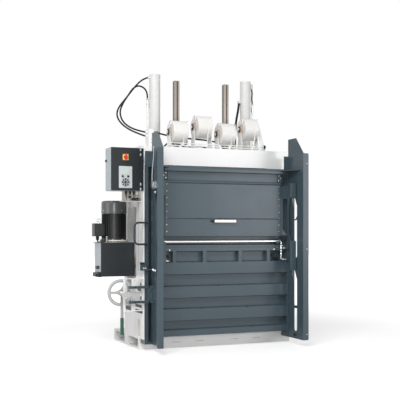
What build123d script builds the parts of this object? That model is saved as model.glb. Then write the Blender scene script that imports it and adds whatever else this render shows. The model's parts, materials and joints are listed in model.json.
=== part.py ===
from build123d import *
import math
import os

# Vertical recycling baler. Millimetres, +Z up, the front faces -Y.
# The origin is on the floor, in the middle of the front edge of the base.

# Overall machine
BODY_HALF_W = 892.0
BODY_DEPTH = 910.0
SIDE_DEPTH = 513.0
BASE_H = 123.0
TOP_Z = 2985.0
SHEET = 6.0
HEAVY = 12.0
GAP = 1.0
OPENING_HALF_W = BODY_HALF_W - 294.5

# Base
FORK_POCKETS = ((40.0, 384.0), (513.0, 870.0))
POCKET_FLOOR = 22.0
BASE_SLOT_X = (-478.0, -208.0, 208.0, 478.0)
ANCHOR_X = BODY_HALF_W - 72.0
ANCHOR_Y = (448.0, 890.0)
ANCHOR_R = 9.0

# Side frames
POST_W = 130.0
POST_D = 100.0
RAIL_Z = ((790.0, 860.0), (1500.0, 1570.0))
CLADDING_TOP = 388.0
CHEEK_T = 12.0
CHEEK_FRONT = -149.0

# Chamber
CHAMBER_HALF_W = OPENING_HALF_W + 2.5
CHAMBER_DEPTH = 780.0
FLOOR_Z = 145.0
BACK_RIB_Z = (560.0, 1000.0, 1440.0)
BACK_RIB_D = 90.0
STRAP_X = (-422.0, -141.0, 141.0, 422.0)

# Top beam
BEAM_HALF_W = BODY_HALF_W - 22.0
BEAM_DEPTH = 820.0
BEAM_Z0 = 1945.0
BEAM_Z1 = 2141.0

# Door
DOOR_FRONT = -150.0
DOOR_BACK = -8.0
DOOR_HALF_W = BODY_HALF_W - 15.0
DOOR_Z0 = 74.0
DOOR_Z1 = 1930.0
POST_IN = DOOR_HALF_W - 94.0
LIP_IN = POST_IN + 20.0
LIP_OUT = POST_IN + 61.0
RIB_DEPTH = 55.0
RIB_SLOPE = 10.0
RIBS = ((145.0, 206.0), (305.0, 425.0), (543.0, 661.0), (790.0, 915.0))
CAP_RIB = (1032.0, 1096.0)
POCKET_Z0 = 915.0
POCKET_Z1 = 1032.0
POCKET_WEB = 40.0
POCKET_WEB_X = (-551.0, -209.0, 209.0, 551.0)
SILL_Z = 1195.0
OPENING_Z1 = 1860.0
JAMB_FRONT = -120.0

# Door hinge
HINGE_X = BODY_HALF_W + 1.0
HINGE_Y = -40.0
HINGE_R = 13.0
HINGE_PIN_R = 7.0
HINGE_FIT = 0.4
HINGE_Z = (260.0, 1000.0, 1720.0)
KNUCKLE_H = 60.0

# Side wings of the door
WING_X = POST_IN + 12.0
WING_T = 6.0
WING_FRONT = -486.0
WING_BOTTOM = 72.0
WING_TOP = 2258.0
WING_SHOULDER = 2080.0
WING_TOP_FRONT = -322.0
FLANGE_W = 66.0
FLANGE_HOLE_Z = (133.0, 1051.0, 1969.0)
GUSSET_Z = 1903.0
POST_TOP = 2070.0
SLOT_W = 66.0
SLOT_Y = -317.0
SLOT_HOOK_Y = -270.0
SLOT_LENGTH = 726.0
SLOT_BOTTOMS = (154.0, 954.0)
SLOT_HOOK_H = 70.0
SLOT_BEND_H = 130.0

# Loading flap
FLAP_HALF_W = OPENING_HALF_W + 76.5
FLAP_FRONT = -196.0
FLAP_BACK = -178.0
FLAP_Z0 = 1191.0
FLAP_Z1 = 1745.0
BEAD_TOP = 1776.0
FLAP_TOP = 1866.0
ARM_X = WING_X - 27.0
ARM_FRONT = -345.0
ARM_TOP = 1764.0
ARM_PAD_Z = 1610.0
ARM_LOW = 820.0
PAD_X = ARM_X - 50.0
PAD_OUT = ARM_X + 18.0
ARM_STRIP = 30.0
ARM_OPEN_Z = (1140.0, 1215.0, 1600.0)
GUIDE_PIN_R = 8.0
GUIDE_PIN_Y = -293.0
GUIDE_PIN_Z = (840.0, 1640.0)
COLLAR_GAP = 0.4
HANDLE_HALF = 125.0
HANDLE_Z = 1350.0
HANDLE_TUBE_Z = (1108.0, 1330.0)
HANDLE_TUBE_R = 10.0

# Locking bar below the flap and its index bolt
LOCK_BAR_Y = -160.0
LOCK_BAR_Z = 1134.0
LOCK_BAR_R = 13.0
LOCK_BAR_HALF = FLAP_HALF_W + 16.0
CRANK_R = 6.0
CRANK_DROP = 190.0
LEFT_CRANK_IN = 33.0
BEARING_X = (10.0 - LOCK_BAR_HALF, LOCK_BAR_HALF - 10.0)
BOLT_X = LOCK_BAR_HALF + 48.0
BOLT_Y = DOOR_FRONT - 12.0
BOLT_Z = 1057.0

# Door lock on the left side
PRONG_Z = (515.0, 667.0)
PRONG_T = 26.0
PRONG_TIP = -BODY_HALF_W - 163.0
PRONG_ROOT = -WING_X - WING_T
SIDE_LATCH_Z = (838.0, 922.0)
LOCK_X = -BODY_HALF_W - 151.0
LOCK_Z = 592.0
SPINDLE_R = 12.0
SPINDLE_FIT = 0.4
HEAD_BACK = DOOR_FRONT - PRONG_T - 7.0
HEAD_HALF = 95.0
CAGE_X0 = LOCK_X - 55.0
CAGE_BARS = ((CAGE_X0, CAGE_X0 + 15.0), (LOCK_X + 31.0, LOCK_X + 66.0))
CAGE_BLOCK_HALF = 24.0
CAGE_Y0 = -140.0
CAGE_Y1 = -104.0
CAGE_Z0 = 430.0
CAGE_Z1 = 750.0
WHEEL_Y = 172.0
WHEEL_R = 144.0
WHEEL_TUBE_R = 14.0
LEVER_Y = 112.0
LEVER_LENGTH = 432.0
LEVER_GRIP_DROP = 262.0

# Hydraulics
CYL_X = OPENING_HALF_W - 38.5
CYL_Y = 455.0
BARREL_R = 62.0
BARREL_BORE = 53.0
GLAND_H = 50.0
HEAD_H = 40.0
ROD_R = 35.0
PISTON_TOP = TOP_Z - HEAD_H - 10.0
PISTON_H = 50.0
PORT_Z = 2951.0
PORT_R = 15.0
PORT_OUT = 11.0
PORT_ELBOW_X = CYL_X + 81.0
SIDE_PORT_X = CYL_X - 77.0
SIDE_PORT_Y = 462.0
SIDE_PORT_Z = 2733.0
POLE_X = CYL_X - 255.0
POLE_W = 60.0
POLE_TOP = 2925.0
GUIDE_HALF = 46.0
PLATEN_Z0 = 1868.0
PLATEN_T = 60.0
BULKHEAD_X = 142.0 - BODY_HALF_W
BULKHEAD_W = 62.0
BULKHEAD_Y = (104.0, 210.0)
BULKHEAD_TOP = BEAM_Z1 + 193.0
HOSE_D = 18.0
CROSS_HOSE_D = 26.0

# Power pack
TANK_X0 = -BODY_HALF_W - 352.0
TANK_Y0 = 154.0
TANK_Y1 = 464.0
TANK_Z0 = 765.0
TANK_Z1 = 1123.0
MOTOR_X = -BODY_HALF_W - 181.0
MOTOR_Y = 309.0
MOTOR_R = 112.0
FIN_R = 132.0
FIN_COUNT = 32
SHAFT_R = 12.0
MOTOR_Z0 = 1150.0
MOTOR_Z1 = 1440.0
COWL_TOP = 1567.0

# Control cabinet
CAB_X0 = -BODY_HALF_W - 349.0
CAB_X1 = -BODY_HALF_W
CAB_Y0 = -154.0
CAB_Y1 = 46.0
CAB_Z0 = 1657.0
CAB_Z1 = 2096.0
CAB_DOOR_T = 6.0
CAB_DOOR_X1 = CAB_X1 - 49.0
DOOR_FACE = CAB_Y0 - GAP - CAB_DOOR_T
CAB_HINGE_X = CAB_X1 - 37.0
CAB_HINGE_Y = DOOR_FACE
CAB_HINGE_R = 6.0
CAB_HINGE_Z = (1700.0, 2053.0)
PLATE_T = 4.0
KEYPAD_X0 = CAB_X0 + 81.0
KEYPAD_X1 = KEYPAD_X0 + 140.0
KEYPAD_Z0 = 1683.0
KEYPAD_Z1 = 1905.0
DISPLAY_X0 = KEYPAD_X0 + 25.0
DISPLAY_X1 = KEYPAD_X0 + 109.0
DISPLAY_Z0 = 1823.0
DISPLAY_Z1 = 1862.0
PAD_CX = KEYPAD_X0 + 69.0
PAD_CZ = 1742.0
PAD_STEP = 29.0
PAD_R = 43.0
KEY_FIT = 0.4
KEYS = (("key_left", PAD_CX - PAD_STEP, 1801.0, 12.0), ("key_right", PAD_CX + PAD_STEP, 1801.0, 12.0),
        ("key_centre", PAD_CX, PAD_CZ, 14.0))
SWITCH_X = CAB_X0 + 152.0
SWITCH_Z = 1998.0
LATCH_Y = 17.0
LATCH_Z = 1967.0
GLAND_X = (CAB_X1 - 158.0, CAB_X1 - 116.0, CAB_X1 - 74.0)
GLAND_Y = -54.0

# Strap reels
REEL_Y = 100.0
REEL_R = 122.0
REEL_W = 165.0
REEL_LOW = 2312.0
REEL_HIGH = 2378.0
CORE_R = 52.0
BUSH_R = 38.0
AXLE_R = 12.0
CHEEK_X = 96.0
GUIDE_ROD_X = 570.0

# Hose and cable routes from end to end
STUB_X = BULKHEAD_X - 16.0
HOSE_END_X = STUB_X - 6.0
HOSE_END_RUN = HOSE_END_X + CYL_X
OUTER_ROUTE = ((-76, 455, 2951), (-143, 455, 2929), (-232, 450, 2839), (-327, 440, 2716), (-424, 420, 2603),
               (-467, 380, 2513), (-449, 320, 2420), (-372, 260, 2341), (-277, 205, 2291), (HOSE_END_RUN, 160, 2263))
INNER_ROUTE = ((-85, 455, 2715), (-87, 452, 2772), (-119, 444, 2823), (-174, 434, 2848), (-230, 424, 2838),
               (-279, 415, 2797), (-329, 405, 2722), (-386, 388, 2643), (-440, 352, 2536), (-426, 298, 2427),
               (-359, 246, 2358), (-276, 200, 2322), (HOSE_END_RUN, 160, 2305))
HOSE_OUTER = tuple((x - CYL_X, y, z) for x, y, z in OUTER_ROUTE)
HOSE_INNER = tuple((x - CYL_X, y, z) for x, y, z in INNER_ROUTE)
HOSE_RIGHT = ((PORT_ELBOW_X, 455, 2907), (PORT_ELBOW_X + 11, 455, 2852), (PORT_ELBOW_X, 455, 2792),
              (PORT_ELBOW_X + 11, 455, 2736))
CROSS_ROUTE = ((0, SIDE_PORT_Y, SIDE_PORT_Z - 2), (-5, 476, 2650), (-18, 491, 2560), (-28, 498, 2465),
               (-33, 500, 2370), (-31, 500, 2260), (-32, 500, 2156))
HOSE_CROSS = tuple((x + SIDE_PORT_X, y, z) for x, y, z in CROSS_ROUTE)
CABLE_D = 8.0
CLIP_Z = 2098.0
LIMIT_BOX_Z = (1690.0, 1752.0)
CABLE_X = -WING_X - WING_T - 5.0
SWITCH_CABLE = ((CABLE_X, -222, CLIP_Z), (CABLE_X, -222, 2020), (CABLE_X - 5, -206, 1930),
                (CABLE_X - 8, -192, 1842), (CABLE_X - 8, -192, LIMIT_BOX_Z[1]))
PIPE_LEFT_X = HOSE_INNER[0][0]
PIPE_RIGHT_X = HOSE_RIGHT[-1][0]

os.makedirs("parts", exist_ok=True)


def block(x0, x1, y0, y1, z0, z1):
    """Box between two corners."""
    return Pos((x0 + x1) / 2, (y0 + y1) / 2, (z0 + z1) / 2) * Box(x1 - x0, y1 - y0, z1 - z0)


def rod_x(x0, x1, y, z, r):
    return Pos((x0 + x1) / 2, y, z) * Rot(0, 90, 0) * Cylinder(r, x1 - x0)


def rod_y(x, y0, y1, z, r):
    return Pos(x, (y0 + y1) / 2, z) * Rot(90, 0, 0) * Cylinder(r, y1 - y0)


def rod_z(x, y, z0, z1, r):
    return Pos(x, y, (z0 + z1) / 2) * Cylinder(r, z1 - z0)


def plate_yz(points, x0, x1):
    """Outline of (y, z) points, from x0 to x1."""
    plane = Plane(origin=(x0, 0, 0), x_dir=(0, 1, 0), z_dir=(1, 0, 0))
    return extrude(plane * make_face(Polyline(*points, close=True)), amount=x1 - x0, dir=plane.z_dir)


def plate_xz(points, y0, y1):
    """Outline of (x, z) points, from y0 to y1."""
    plane = Plane(origin=(0, y1, 0), x_dir=(1, 0, 0), z_dir=(0, -1, 0))
    return extrude(plane * make_face(Polyline(*points, close=True)), amount=y1 - y0, dir=plane.z_dir)


def plate_xy(points, z0, z1):
    """Outline of (x, y) points, from z0 to z1."""
    plane = Plane(origin=(0, 0, z0))
    return extrude(plane * make_face(Polyline(*points, close=True)), amount=z1 - z0, dir=plane.z_dir)


def slot_x(x0, x1, y, z0, z1, width):
    """Upright slot with round ends, cut along X."""
    r = width / 2
    body = block(x0, x1, y - r, y + r, z0 + r, z1 - r)
    return body + rod_x(x0, x1, y, z0 + r, r) + rod_x(x0, x1, y, z1 - r, r)


def hollow(x0, x1, y0, y1, z0, z1, t, open_axis):
    """Square tube with wall t, open along one axis."""
    spans = [[x0 + t, x1 - t], [y0 + t, y1 - t], [z0 + t, z1 - t]]
    whole = [[x0 - 1, x1 + 1], [y0 - 1, y1 + 1], [z0 - 1, z1 + 1]]
    index = "xyz".index(open_axis)
    spans[index] = whole[index]
    return block(x0, x1, y0, y1, z0, z1) - block(*spans[0], *spans[1], *spans[2])


def mirror_x(shape):
    return mirror(shape, about=Plane.YZ)


def sides(x0, x1):
    """The same X span on the right and on the left."""
    return ((x0, x1), (-x1, -x0))


def save(name, *shapes):
    """Write one node; a node of several pieces keeps them as separate solids."""
    solids = [solid for shape in shapes for solid in shape.solids()]
    item = solids[0] if len(solids) == 1 else Compound(children=solids)
    export_step(item, f"parts/{name}.step")


# Base with fork pockets
def base_frame():
    body = block(-BODY_HALF_W, BODY_HALF_W, 0, BODY_DEPTH, 0, BASE_H)
    for y0, y1 in FORK_POCKETS:
        body -= block(-BODY_HALF_W - 1, BODY_HALF_W + 1, y0, y1, POCKET_FLOOR, BASE_H - HEAVY)
    for x in BASE_SLOT_X:
        body -= block(x - 50, x + 50, -1, FORK_POCKETS[0][0] + 1, 56, 68)
    for x in (-ANCHOR_X, ANCHOR_X):
        for y in ANCHOR_Y:
            body -= rod_z(x, y, -1, BASE_H + 1, ANCHOR_R)
    return body


# Side frames with two posts, rails and a low cladding sheet
def side_frame():
    out = BODY_HALF_W
    inn = CHAMBER_HALF_W + SHEET
    front = hollow(out - POST_W, out, 0, POST_D, BASE_H, BEAM_Z0, SHEET, "z")
    rear = hollow(out - POST_W, out, SIDE_DEPTH - POST_D, SIDE_DEPTH, BASE_H, BEAM_Z0, SHEET, "z")
    body = front + rear
    for z0, z1 in RAIL_Z:
        body += hollow(inn, out - 22, POST_D - 3, SIDE_DEPTH - POST_D + 3, z0, z1, SHEET, "y")
    body += block(inn, out - POST_W + 3, 0, SHEET, BASE_H, BEAM_Z0)
    body += block(inn, out - POST_W + 3, SIDE_DEPTH - SHEET, SIDE_DEPTH, BASE_H, BEAM_Z0)
    body += block(out - SHEET, out, POST_D - 3, SIDE_DEPTH - POST_D + 3, BASE_H, CLADDING_TOP)
    body += block(inn, out, POST_D - 3, SIDE_DEPTH - POST_D + 3, CLADDING_TOP - SHEET, CLADDING_TOP)
    return body


def side_pocket():
    """Shallow upright pocket low down in the left side, over the cheek and the post."""
    return block(-BODY_HALF_W - 1, -BODY_HALF_W + SHEET + 2, -50, 46, BASE_H + 27, BASE_H + 197)


def front_cheek():
    """Rounded upright that covers the side of the closed door, in front of the left post."""
    body = block(-BODY_HALF_W, -BODY_HALF_W + CHEEK_T, CHEEK_FRONT, SHEET, BASE_H, BEAM_Z0)
    return fillet(body.edges().filter_by(Axis.Z).sort_by(Axis.Y)[:2], CHEEK_T / 2 - 1)


def knuckle(z, reach_y):
    """One hinge knuckle with its leaf, which reaches to the plane y = reach_y."""
    z0, z1 = z - KNUCKLE_H / 2, z + KNUCKLE_H / 2
    low, high = min(HINGE_Y, reach_y), max(HINGE_Y, reach_y)
    return rod_z(HINGE_X, HINGE_Y, z0, z1, HINGE_R) + block(HINGE_X - HINGE_R, HINGE_X, low, high, z0, z1)


def frame_hinges():
    """Fixed knuckles with their pins; the leaves are welded to the right front post."""
    body = Part()
    for z in HINGE_Z:
        for level in (z - KNUCKLE_H - GAP, z + KNUCKLE_H + GAP):
            body += knuckle(level, 0)
        body += rod_z(HINGE_X, HINGE_Y, z - KNUCKLE_H - GAP, z + KNUCKLE_H + GAP, HINGE_PIN_R)
    return body


# Chamber lining and floor, both with channels for the strapping bands
def chamber_liner():
    inn = CHAMBER_HALF_W
    body = block(-inn - SHEET, inn + SHEET, CHAMBER_DEPTH, CHAMBER_DEPTH + SHEET, FLOOR_Z, BEAM_Z0)
    for x0, x1 in sides(inn, inn + SHEET):
        body += block(x0, x1, SHEET, CHAMBER_DEPTH + 1, FLOOR_Z, BEAM_Z0)
    for z in BACK_RIB_Z:
        body += hollow(-inn, inn, CHAMBER_DEPTH + 1, CHAMBER_DEPTH + BACK_RIB_D, z, z + 80, SHEET, "x")
    for x in STRAP_X:
        body -= block(x - 14, x + 14, CHAMBER_DEPTH - 1, CHAMBER_DEPTH + SHEET + 1, FLOOR_Z - 1, 480)
    return body


def chamber_floor():
    body = block(-CHAMBER_HALF_W, CHAMBER_HALF_W, 2, CHAMBER_DEPTH - GAP, BASE_H, FLOOR_Z)
    for x in STRAP_X:
        body -= block(x - 15, x + 15, 1, CHAMBER_DEPTH, FLOOR_Z - 14, FLOOR_Z + 1)
    return body


# Top beam: a front box, a cross box under the cylinders and an open rear tray
def top_beam():
    edge = BEAM_HALF_W - HEAVY
    z0, z1 = BEAM_Z0 + HEAVY, BEAM_Z1 - HEAVY
    body = block(-BEAM_HALF_W, BEAM_HALF_W, 0, BEAM_DEPTH, BEAM_Z0, BEAM_Z1)
    body -= block(-edge, edge, HEAVY, CYL_Y - 115, z0, z1)
    body -= block(-edge, edge, CYL_Y - 103, CYL_Y + 103, z0, z1)
    body -= block(-edge, edge, CYL_Y + 115, BEAM_DEPTH - HEAVY, z0, BEAM_Z1 + 1)
    for x in (-CYL_X, CYL_X):
        body -= rod_z(x, CYL_Y, BEAM_Z0 - 1, BEAM_Z1 + 1, BARREL_R + 0.5)
    lower = POLE_W / 2 + 4
    upper = GUIDE_HALF
    for x in (-POLE_X, POLE_X):
        body -= block(x - lower, x + lower, CYL_Y - lower, CYL_Y + lower, BEAM_Z0 - 1, z0 + 1)
        body -= block(x - upper, x + upper, CYL_Y - upper, CYL_Y + upper, z1 - 1, BEAM_Z1 + 1)
    return body


def pole_guides():
    """Square plastic guides that the two poles slide in."""
    slide = POLE_W / 2 + 0.5
    solids = []
    for x in (-POLE_X, POLE_X):
        guide = block(x - GUIDE_HALF, x + GUIDE_HALF, CYL_Y - GUIDE_HALF, CYL_Y + GUIDE_HALF,
                      BEAM_Z0 + HEAVY, BEAM_Z1 + 34)
        guide += block(x - GUIDE_HALF - 16, x + GUIDE_HALF + 16, CYL_Y - GUIDE_HALF - 16, CYL_Y + GUIDE_HALF + 16,
                       BEAM_Z1, BEAM_Z1 + 14)
        guide -= block(x - slide, x + slide, CYL_Y - slide, CYL_Y + slide, BEAM_Z0, BEAM_Z1 + 35)
        solids.append(guide)
    return solids


# Press cylinders
def cylinder_barrel(sign):
    x = sign * CYL_X
    barrel = rod_z(x, CYL_Y, BEAM_Z0, TOP_Z, BARREL_R)
    barrel += rod_z(x, CYL_Y, BEAM_Z1, BEAM_Z1 + 24, BARREL_R + 34)
    barrel += rod_z(x, CYL_Y, BEAM_Z1 + 84, BEAM_Z1 + 98, BARREL_R + 7)
    if sign < 0:
        barrel += rod_x(x - BARREL_R - PORT_OUT, x, CYL_Y, PORT_Z, PORT_R)
    else:
        barrel += rod_x(x, PORT_ELBOW_X, CYL_Y, PORT_Z, PORT_R)
        barrel += rod_z(PORT_ELBOW_X, CYL_Y, HOSE_RIGHT[0][2] + 2, PORT_Z + PORT_R, PORT_R)
        barrel += block(SIDE_PORT_X - 15, x, SIDE_PORT_Y - 15, SIDE_PORT_Y + 15, SIDE_PORT_Z, SIDE_PORT_Z + 26)
    barrel -= rod_z(x, CYL_Y, BEAM_Z0 + GLAND_H, TOP_Z - HEAD_H, BARREL_BORE)
    barrel -= rod_z(x, CYL_Y, BEAM_Z0 - 1, BEAM_Z0 + GLAND_H + 1, ROD_R + 0.5)
    return barrel


def piston_rods():
    solids = []
    for x in (-CYL_X, CYL_X):
        rod = rod_z(x, CYL_Y, PLATEN_Z0 + PLATEN_T, PISTON_TOP - PISTON_H, ROD_R)
        rod += rod_z(x, CYL_Y, PISTON_TOP - PISTON_H, PISTON_TOP, BARREL_BORE - 0.5)
        solids.append(rod)
    return solids


def guide_poles():
    half = POLE_W / 2
    solids = []
    for x in (-POLE_X, POLE_X):
        pole = block(x - half, x + half, CYL_Y - half, CYL_Y + half, PLATEN_Z0 + PLATEN_T, POLE_TOP)
        pole += block(x - half + 3, x + half - 3, CYL_Y - half + 3, CYL_Y + half - 3, POLE_TOP, POLE_TOP + 8)
        solids.append(pole)
    return solids


def platen():
    half = CHAMBER_HALF_W - 10
    top = PLATEN_Z0 + PLATEN_T
    body = block(-half, half, 14, CHAMBER_DEPTH - 12, PLATEN_Z0, top)
    for x in STRAP_X:
        body -= block(x - 15, x + 15, 13, CHAMBER_DEPTH, PLATEN_Z0 - 1, PLATEN_Z0 + 14)
    return body


# Hydraulic lines on the cylinders
def pipe_column(x, z1):
    """Rigid pipe from the cylinder foot, with a cone, a disc, a nut and a ring below its hose fitting."""
    side = math.copysign(1, x)
    z0 = BEAM_Z1 + 24
    body = rod_z(x, CYL_Y, z0, z1 - 120, 8)
    ends = sorted((x, side * (CYL_X + BARREL_R)))
    body += rod_x(ends[0], ends[1], CYL_Y, z0 + 26, 8)
    body += Pos(x, CYL_Y, z1 - 105) * Cone(8, 17, 30)
    body += rod_z(x, CYL_Y, z1 - 90, z1 - 78, 20)
    body += Pos(x, CYL_Y, z1 - 69) * extrude(RegularPolygon(17, 6), 9, both=True)
    body += rod_z(x, CYL_Y, z1 - 60, z1 - 48, 19)
    body += rod_z(x, CYL_Y, z1 - 48, z1, 12)
    return body


def hydraulic_pipes():
    """Both pipes and the fitting where the cross hose enters the beam."""
    x, y, z = HOSE_CROSS[-1]
    half = (z - 1 - BEAM_Z1) / 2
    fitting = Pos(x, y, BEAM_Z1 + half) * extrude(RegularPolygon(19, 6), half, both=True)
    return [pipe_column(PIPE_LEFT_X, HOSE_INNER[0][2] - 1), pipe_column(PIPE_RIGHT_X, HOSE_RIGHT[-1][2] - 2), fitting]


def hose_bulkhead():
    """Folded bracket on the beam that takes the hose ends in two nuts."""
    x0, x1 = BULKHEAD_X, BULKHEAD_X + BULKHEAD_W
    y0, y1 = BULKHEAD_Y
    body = block(x0, x0 + SHEET, y0, y1, BEAM_Z1, BULKHEAD_TOP)
    body += block(x0, x1, y0, y1, BEAM_Z1, BEAM_Z1 + SHEET)
    face = block(x0, x1, y0, y0 + SHEET, BEAM_Z1, BULKHEAD_TOP)
    face = fillet(face.edges().filter_by(Axis.Y).sort_by(Axis.Z)[-1:], BULKHEAD_W / 2)
    for z in (BEAM_Z1 + 48, BEAM_Z1 + 80):
        face -= block(x0 + 23, x0 + 47, y0 - 1, y0 + SHEET + 1, z - 7, z + 7)
    body += face
    for route in (HOSE_OUTER, HOSE_INNER):
        _, y, z = route[-1]
        body += rod_x(STUB_X, x0 + 30, y, z, 12)
        body += Pos(x0 - 6, y, z) * Rot(0, 90, 0) * extrude(RegularPolygon(17, 6), 6, both=True)
    return body


def cord_tube(points, diameter):
    """Straight runs joined by tangent arcs, each as large as its two runs allow."""
    runs = [Vector(*b) - Vector(*a) for a, b in zip(points, points[1:])]
    radii = []
    for first, second in zip(runs, runs[1:]):
        half_turn = math.radians(first.get_angle(second)) / 2
        radii.append(0.45 * min(first.length, second.length) / math.tan(half_turn))
    print("cord radii", [round(r) for r in radii])
    path = FilletPolyline(*points, radius=radii)
    plane = Plane(origin=points[0], z_dir=runs[0])
    tube = sweep(plane * Circle(diameter / 2), path=path)
    area = math.pi * diameter**2 / 4
    print("cord length", round(path.length), "volume ratio", round(tube.volume / (area * path.length), 4))
    return tube


# Strap reels on their stand
def reel_centres():
    for index, x in enumerate(STRAP_X):
        yield index + 1, x, (REEL_LOW, REEL_HIGH)[index % 2]


def strap_reel(x, z):
    """Wound band and its cardboard core."""
    half = REEL_W / 2
    coil = rod_x(x - half, x + half, REEL_Y, z, REEL_R) - rod_x(x - half - 1, x + half + 1, REEL_Y, z, CORE_R)
    core = rod_x(x - half - 4, x + half + 4, REEL_Y, z, CORE_R) - rod_x(x - half - 5, x + half + 5, REEL_Y, z, BUSH_R)
    return coil, core


def reel_stand(x, z):
    """Two tapered cheeks, the axle with its bush and end knobs, and a foot plate."""
    body = block(x - CHEEK_X - 5, x + CHEEK_X + 5, REEL_Y - 70, REEL_Y + 70, BEAM_Z1, BEAM_Z1 + 5)
    outline = [(REEL_Y - 68, BEAM_Z1), (REEL_Y + 68, BEAM_Z1), (REEL_Y + 22, z + 26), (REEL_Y - 22, z + 26)]
    for x0, x1 in ((x - CHEEK_X - 5, x - CHEEK_X), (x + CHEEK_X, x + CHEEK_X + 5)):
        body += plate_yz(outline, x0, x1)
    body += rod_x(x - CHEEK_X - 22, x + CHEEK_X + 22, REEL_Y, z, AXLE_R)
    body += rod_x(x - REEL_W / 2 - 5, x + REEL_W / 2 + 5, REEL_Y, z, BUSH_R - 0.4)
    for end in (-1, 1):
        inner = x + end * (CHEEK_X + 5)
        body += rod_x(min(inner, inner + end * 20), max(inner, inner + end * 20), REEL_Y, z, 19)
    return body


def reel_guides():
    """Two thin guide rods in front of the reels, in end plates."""
    body = Part()
    for x0, x1 in sides(GUIDE_ROD_X - 5, GUIDE_ROD_X):
        body += block(x0, x1, 6, 24, BEAM_Z1, BEAM_Z1 + 62)
    for z in (BEAM_Z1 + 20, BEAM_Z1 + 44):
        body += rod_x(-GUIDE_ROD_X, GUIDE_ROD_X, 15, z, 5)
    return body


# Control cabinet
def cabinet_box():
    body = block(CAB_X0, CAB_X1, CAB_Y0, CAB_Y1, CAB_Z0, CAB_Z1)
    body -= block(CAB_X0 + 4, CAB_X1 - 4, CAB_Y0 + 16, CAB_Y1 - 4, CAB_Z0 + 4, CAB_Z1 - 4)
    body -= block(CAB_X0 + 20, CAB_DOOR_X1 - 20, CAB_Y0 - 1, CAB_Y0 + 17, CAB_Z0 + 20, CAB_Z1 - 20)
    for z in CAB_HINGE_Z:
        body += rod_z(CAB_HINGE_X, CAB_HINGE_Y, z - 34, z - 12, CAB_HINGE_R)
        body += rod_z(CAB_HINGE_X, CAB_HINGE_Y, z + 12, z + 34, CAB_HINGE_R)
        body += rod_z(CAB_HINGE_X, CAB_HINGE_Y, z - 34, z + 34, 3)
        for z0, z1 in ((z - 34, z - 12), (z + 12, z + 34)):
            body += block(CAB_HINGE_X, CAB_HINGE_X + 9, CAB_HINGE_Y, CAB_Y0, z0, z1)
    return body


def cabinet_door():
    front = CAB_Y0 - GAP - CAB_DOOR_T
    body = block(CAB_X0, CAB_DOOR_X1, front, CAB_Y0 - GAP, CAB_Z0, CAB_Z1)
    body = fillet(body.edges().filter_by(Axis.Y), 6)
    body = chamfer(body.faces().sort_by(Axis.Y)[0].edges(), 1.5)
    for z in CAB_HINGE_Z:
        body += rod_z(CAB_HINGE_X, CAB_HINGE_Y, z - 11, z + 11, CAB_HINGE_R)
        body += block(CAB_DOOR_X1 - 3, CAB_HINGE_X, CAB_HINGE_Y - 3, CAB_Y0 - GAP - 1.5, z - 11, z + 11)
        body -= rod_z(CAB_HINGE_X, CAB_HINGE_Y, z - 12, z + 12, 3.4)
    return body


def keypad_plate():
    front = DOOR_FACE - PLATE_T
    body = block(KEYPAD_X0, KEYPAD_X1, front, DOOR_FACE, KEYPAD_Z0, KEYPAD_Z1)
    body = fillet(body.edges().filter_by(Axis.Y), 6)
    for _, x, z, r in KEYS:
        body -= rod_y(x, front - 1, DOOR_FACE + 1, z, r + KEY_FIT)
    return body - rod_y(PAD_CX, front - 1, DOOR_FACE + 1, PAD_CZ, PAD_R + KEY_FIT)


def key_cap(x, z, r):
    return rod_y(x, DOOR_FACE - PLATE_T - 5, DOOR_FACE - 2, z, r)


def key_pad():
    """Round four-way pad with a hole for the centre key."""
    pad = key_cap(PAD_CX, PAD_CZ, PAD_R)
    pad = fillet(pad.faces().sort_by(Axis.Y)[0].edges(), 2)
    return pad - rod_y(PAD_CX, DOOR_FACE - 20, DOOR_FACE, PAD_CZ, KEYS[-1][3] + KEY_FIT)


def display():
    front = DOOR_FACE - PLATE_T
    frame = block(DISPLAY_X0 - 5, DISPLAY_X1 + 5, front - 2, front, DISPLAY_Z0 - 5, DISPLAY_Z1 + 5)
    return frame - block(DISPLAY_X0, DISPLAY_X1, front - 3, front - 1, DISPLAY_Z0, DISPLAY_Z1)


def switch_plate():
    plate = block(SWITCH_X - 30, SWITCH_X + 30, DOOR_FACE - PLATE_T, DOOR_FACE, SWITCH_Z - 30, SWITCH_Z + 30)
    return fillet(plate.edges().filter_by(Axis.Y), 4)


def switch_knob():
    back = DOOR_FACE - PLATE_T - 0.3
    body = rod_y(SWITCH_X, back - 12, back, SWITCH_Z, 20)
    return body + block(SWITCH_X - 6, SWITCH_X + 6, back - 32, back - 11, SWITCH_Z - 18, SWITCH_Z + 18)


def cabinet_latch():
    body = rod_x(CAB_X0 - 5.3, CAB_X0 - 0.3, LATCH_Y, LATCH_Z, 14)
    return body + block(CAB_X0 - 12.3, CAB_X0 - 5, LATCH_Y - 3, LATCH_Y + 3, LATCH_Z - 12, LATCH_Z + 12)


def cable_glands():
    """Glands in the cabinet floor, each a nut, a dome and a stub."""
    solids = []
    for x in GLAND_X:
        gland = Pos(x, GLAND_Y, CAB_Z0 - 6) * extrude(RegularPolygon(15, 6), 6, both=True)
        gland += Pos(x, GLAND_Y, CAB_Z0 - 26) * Cone(8, 13, 28)
        solids.append(gland)
    return solids


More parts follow.
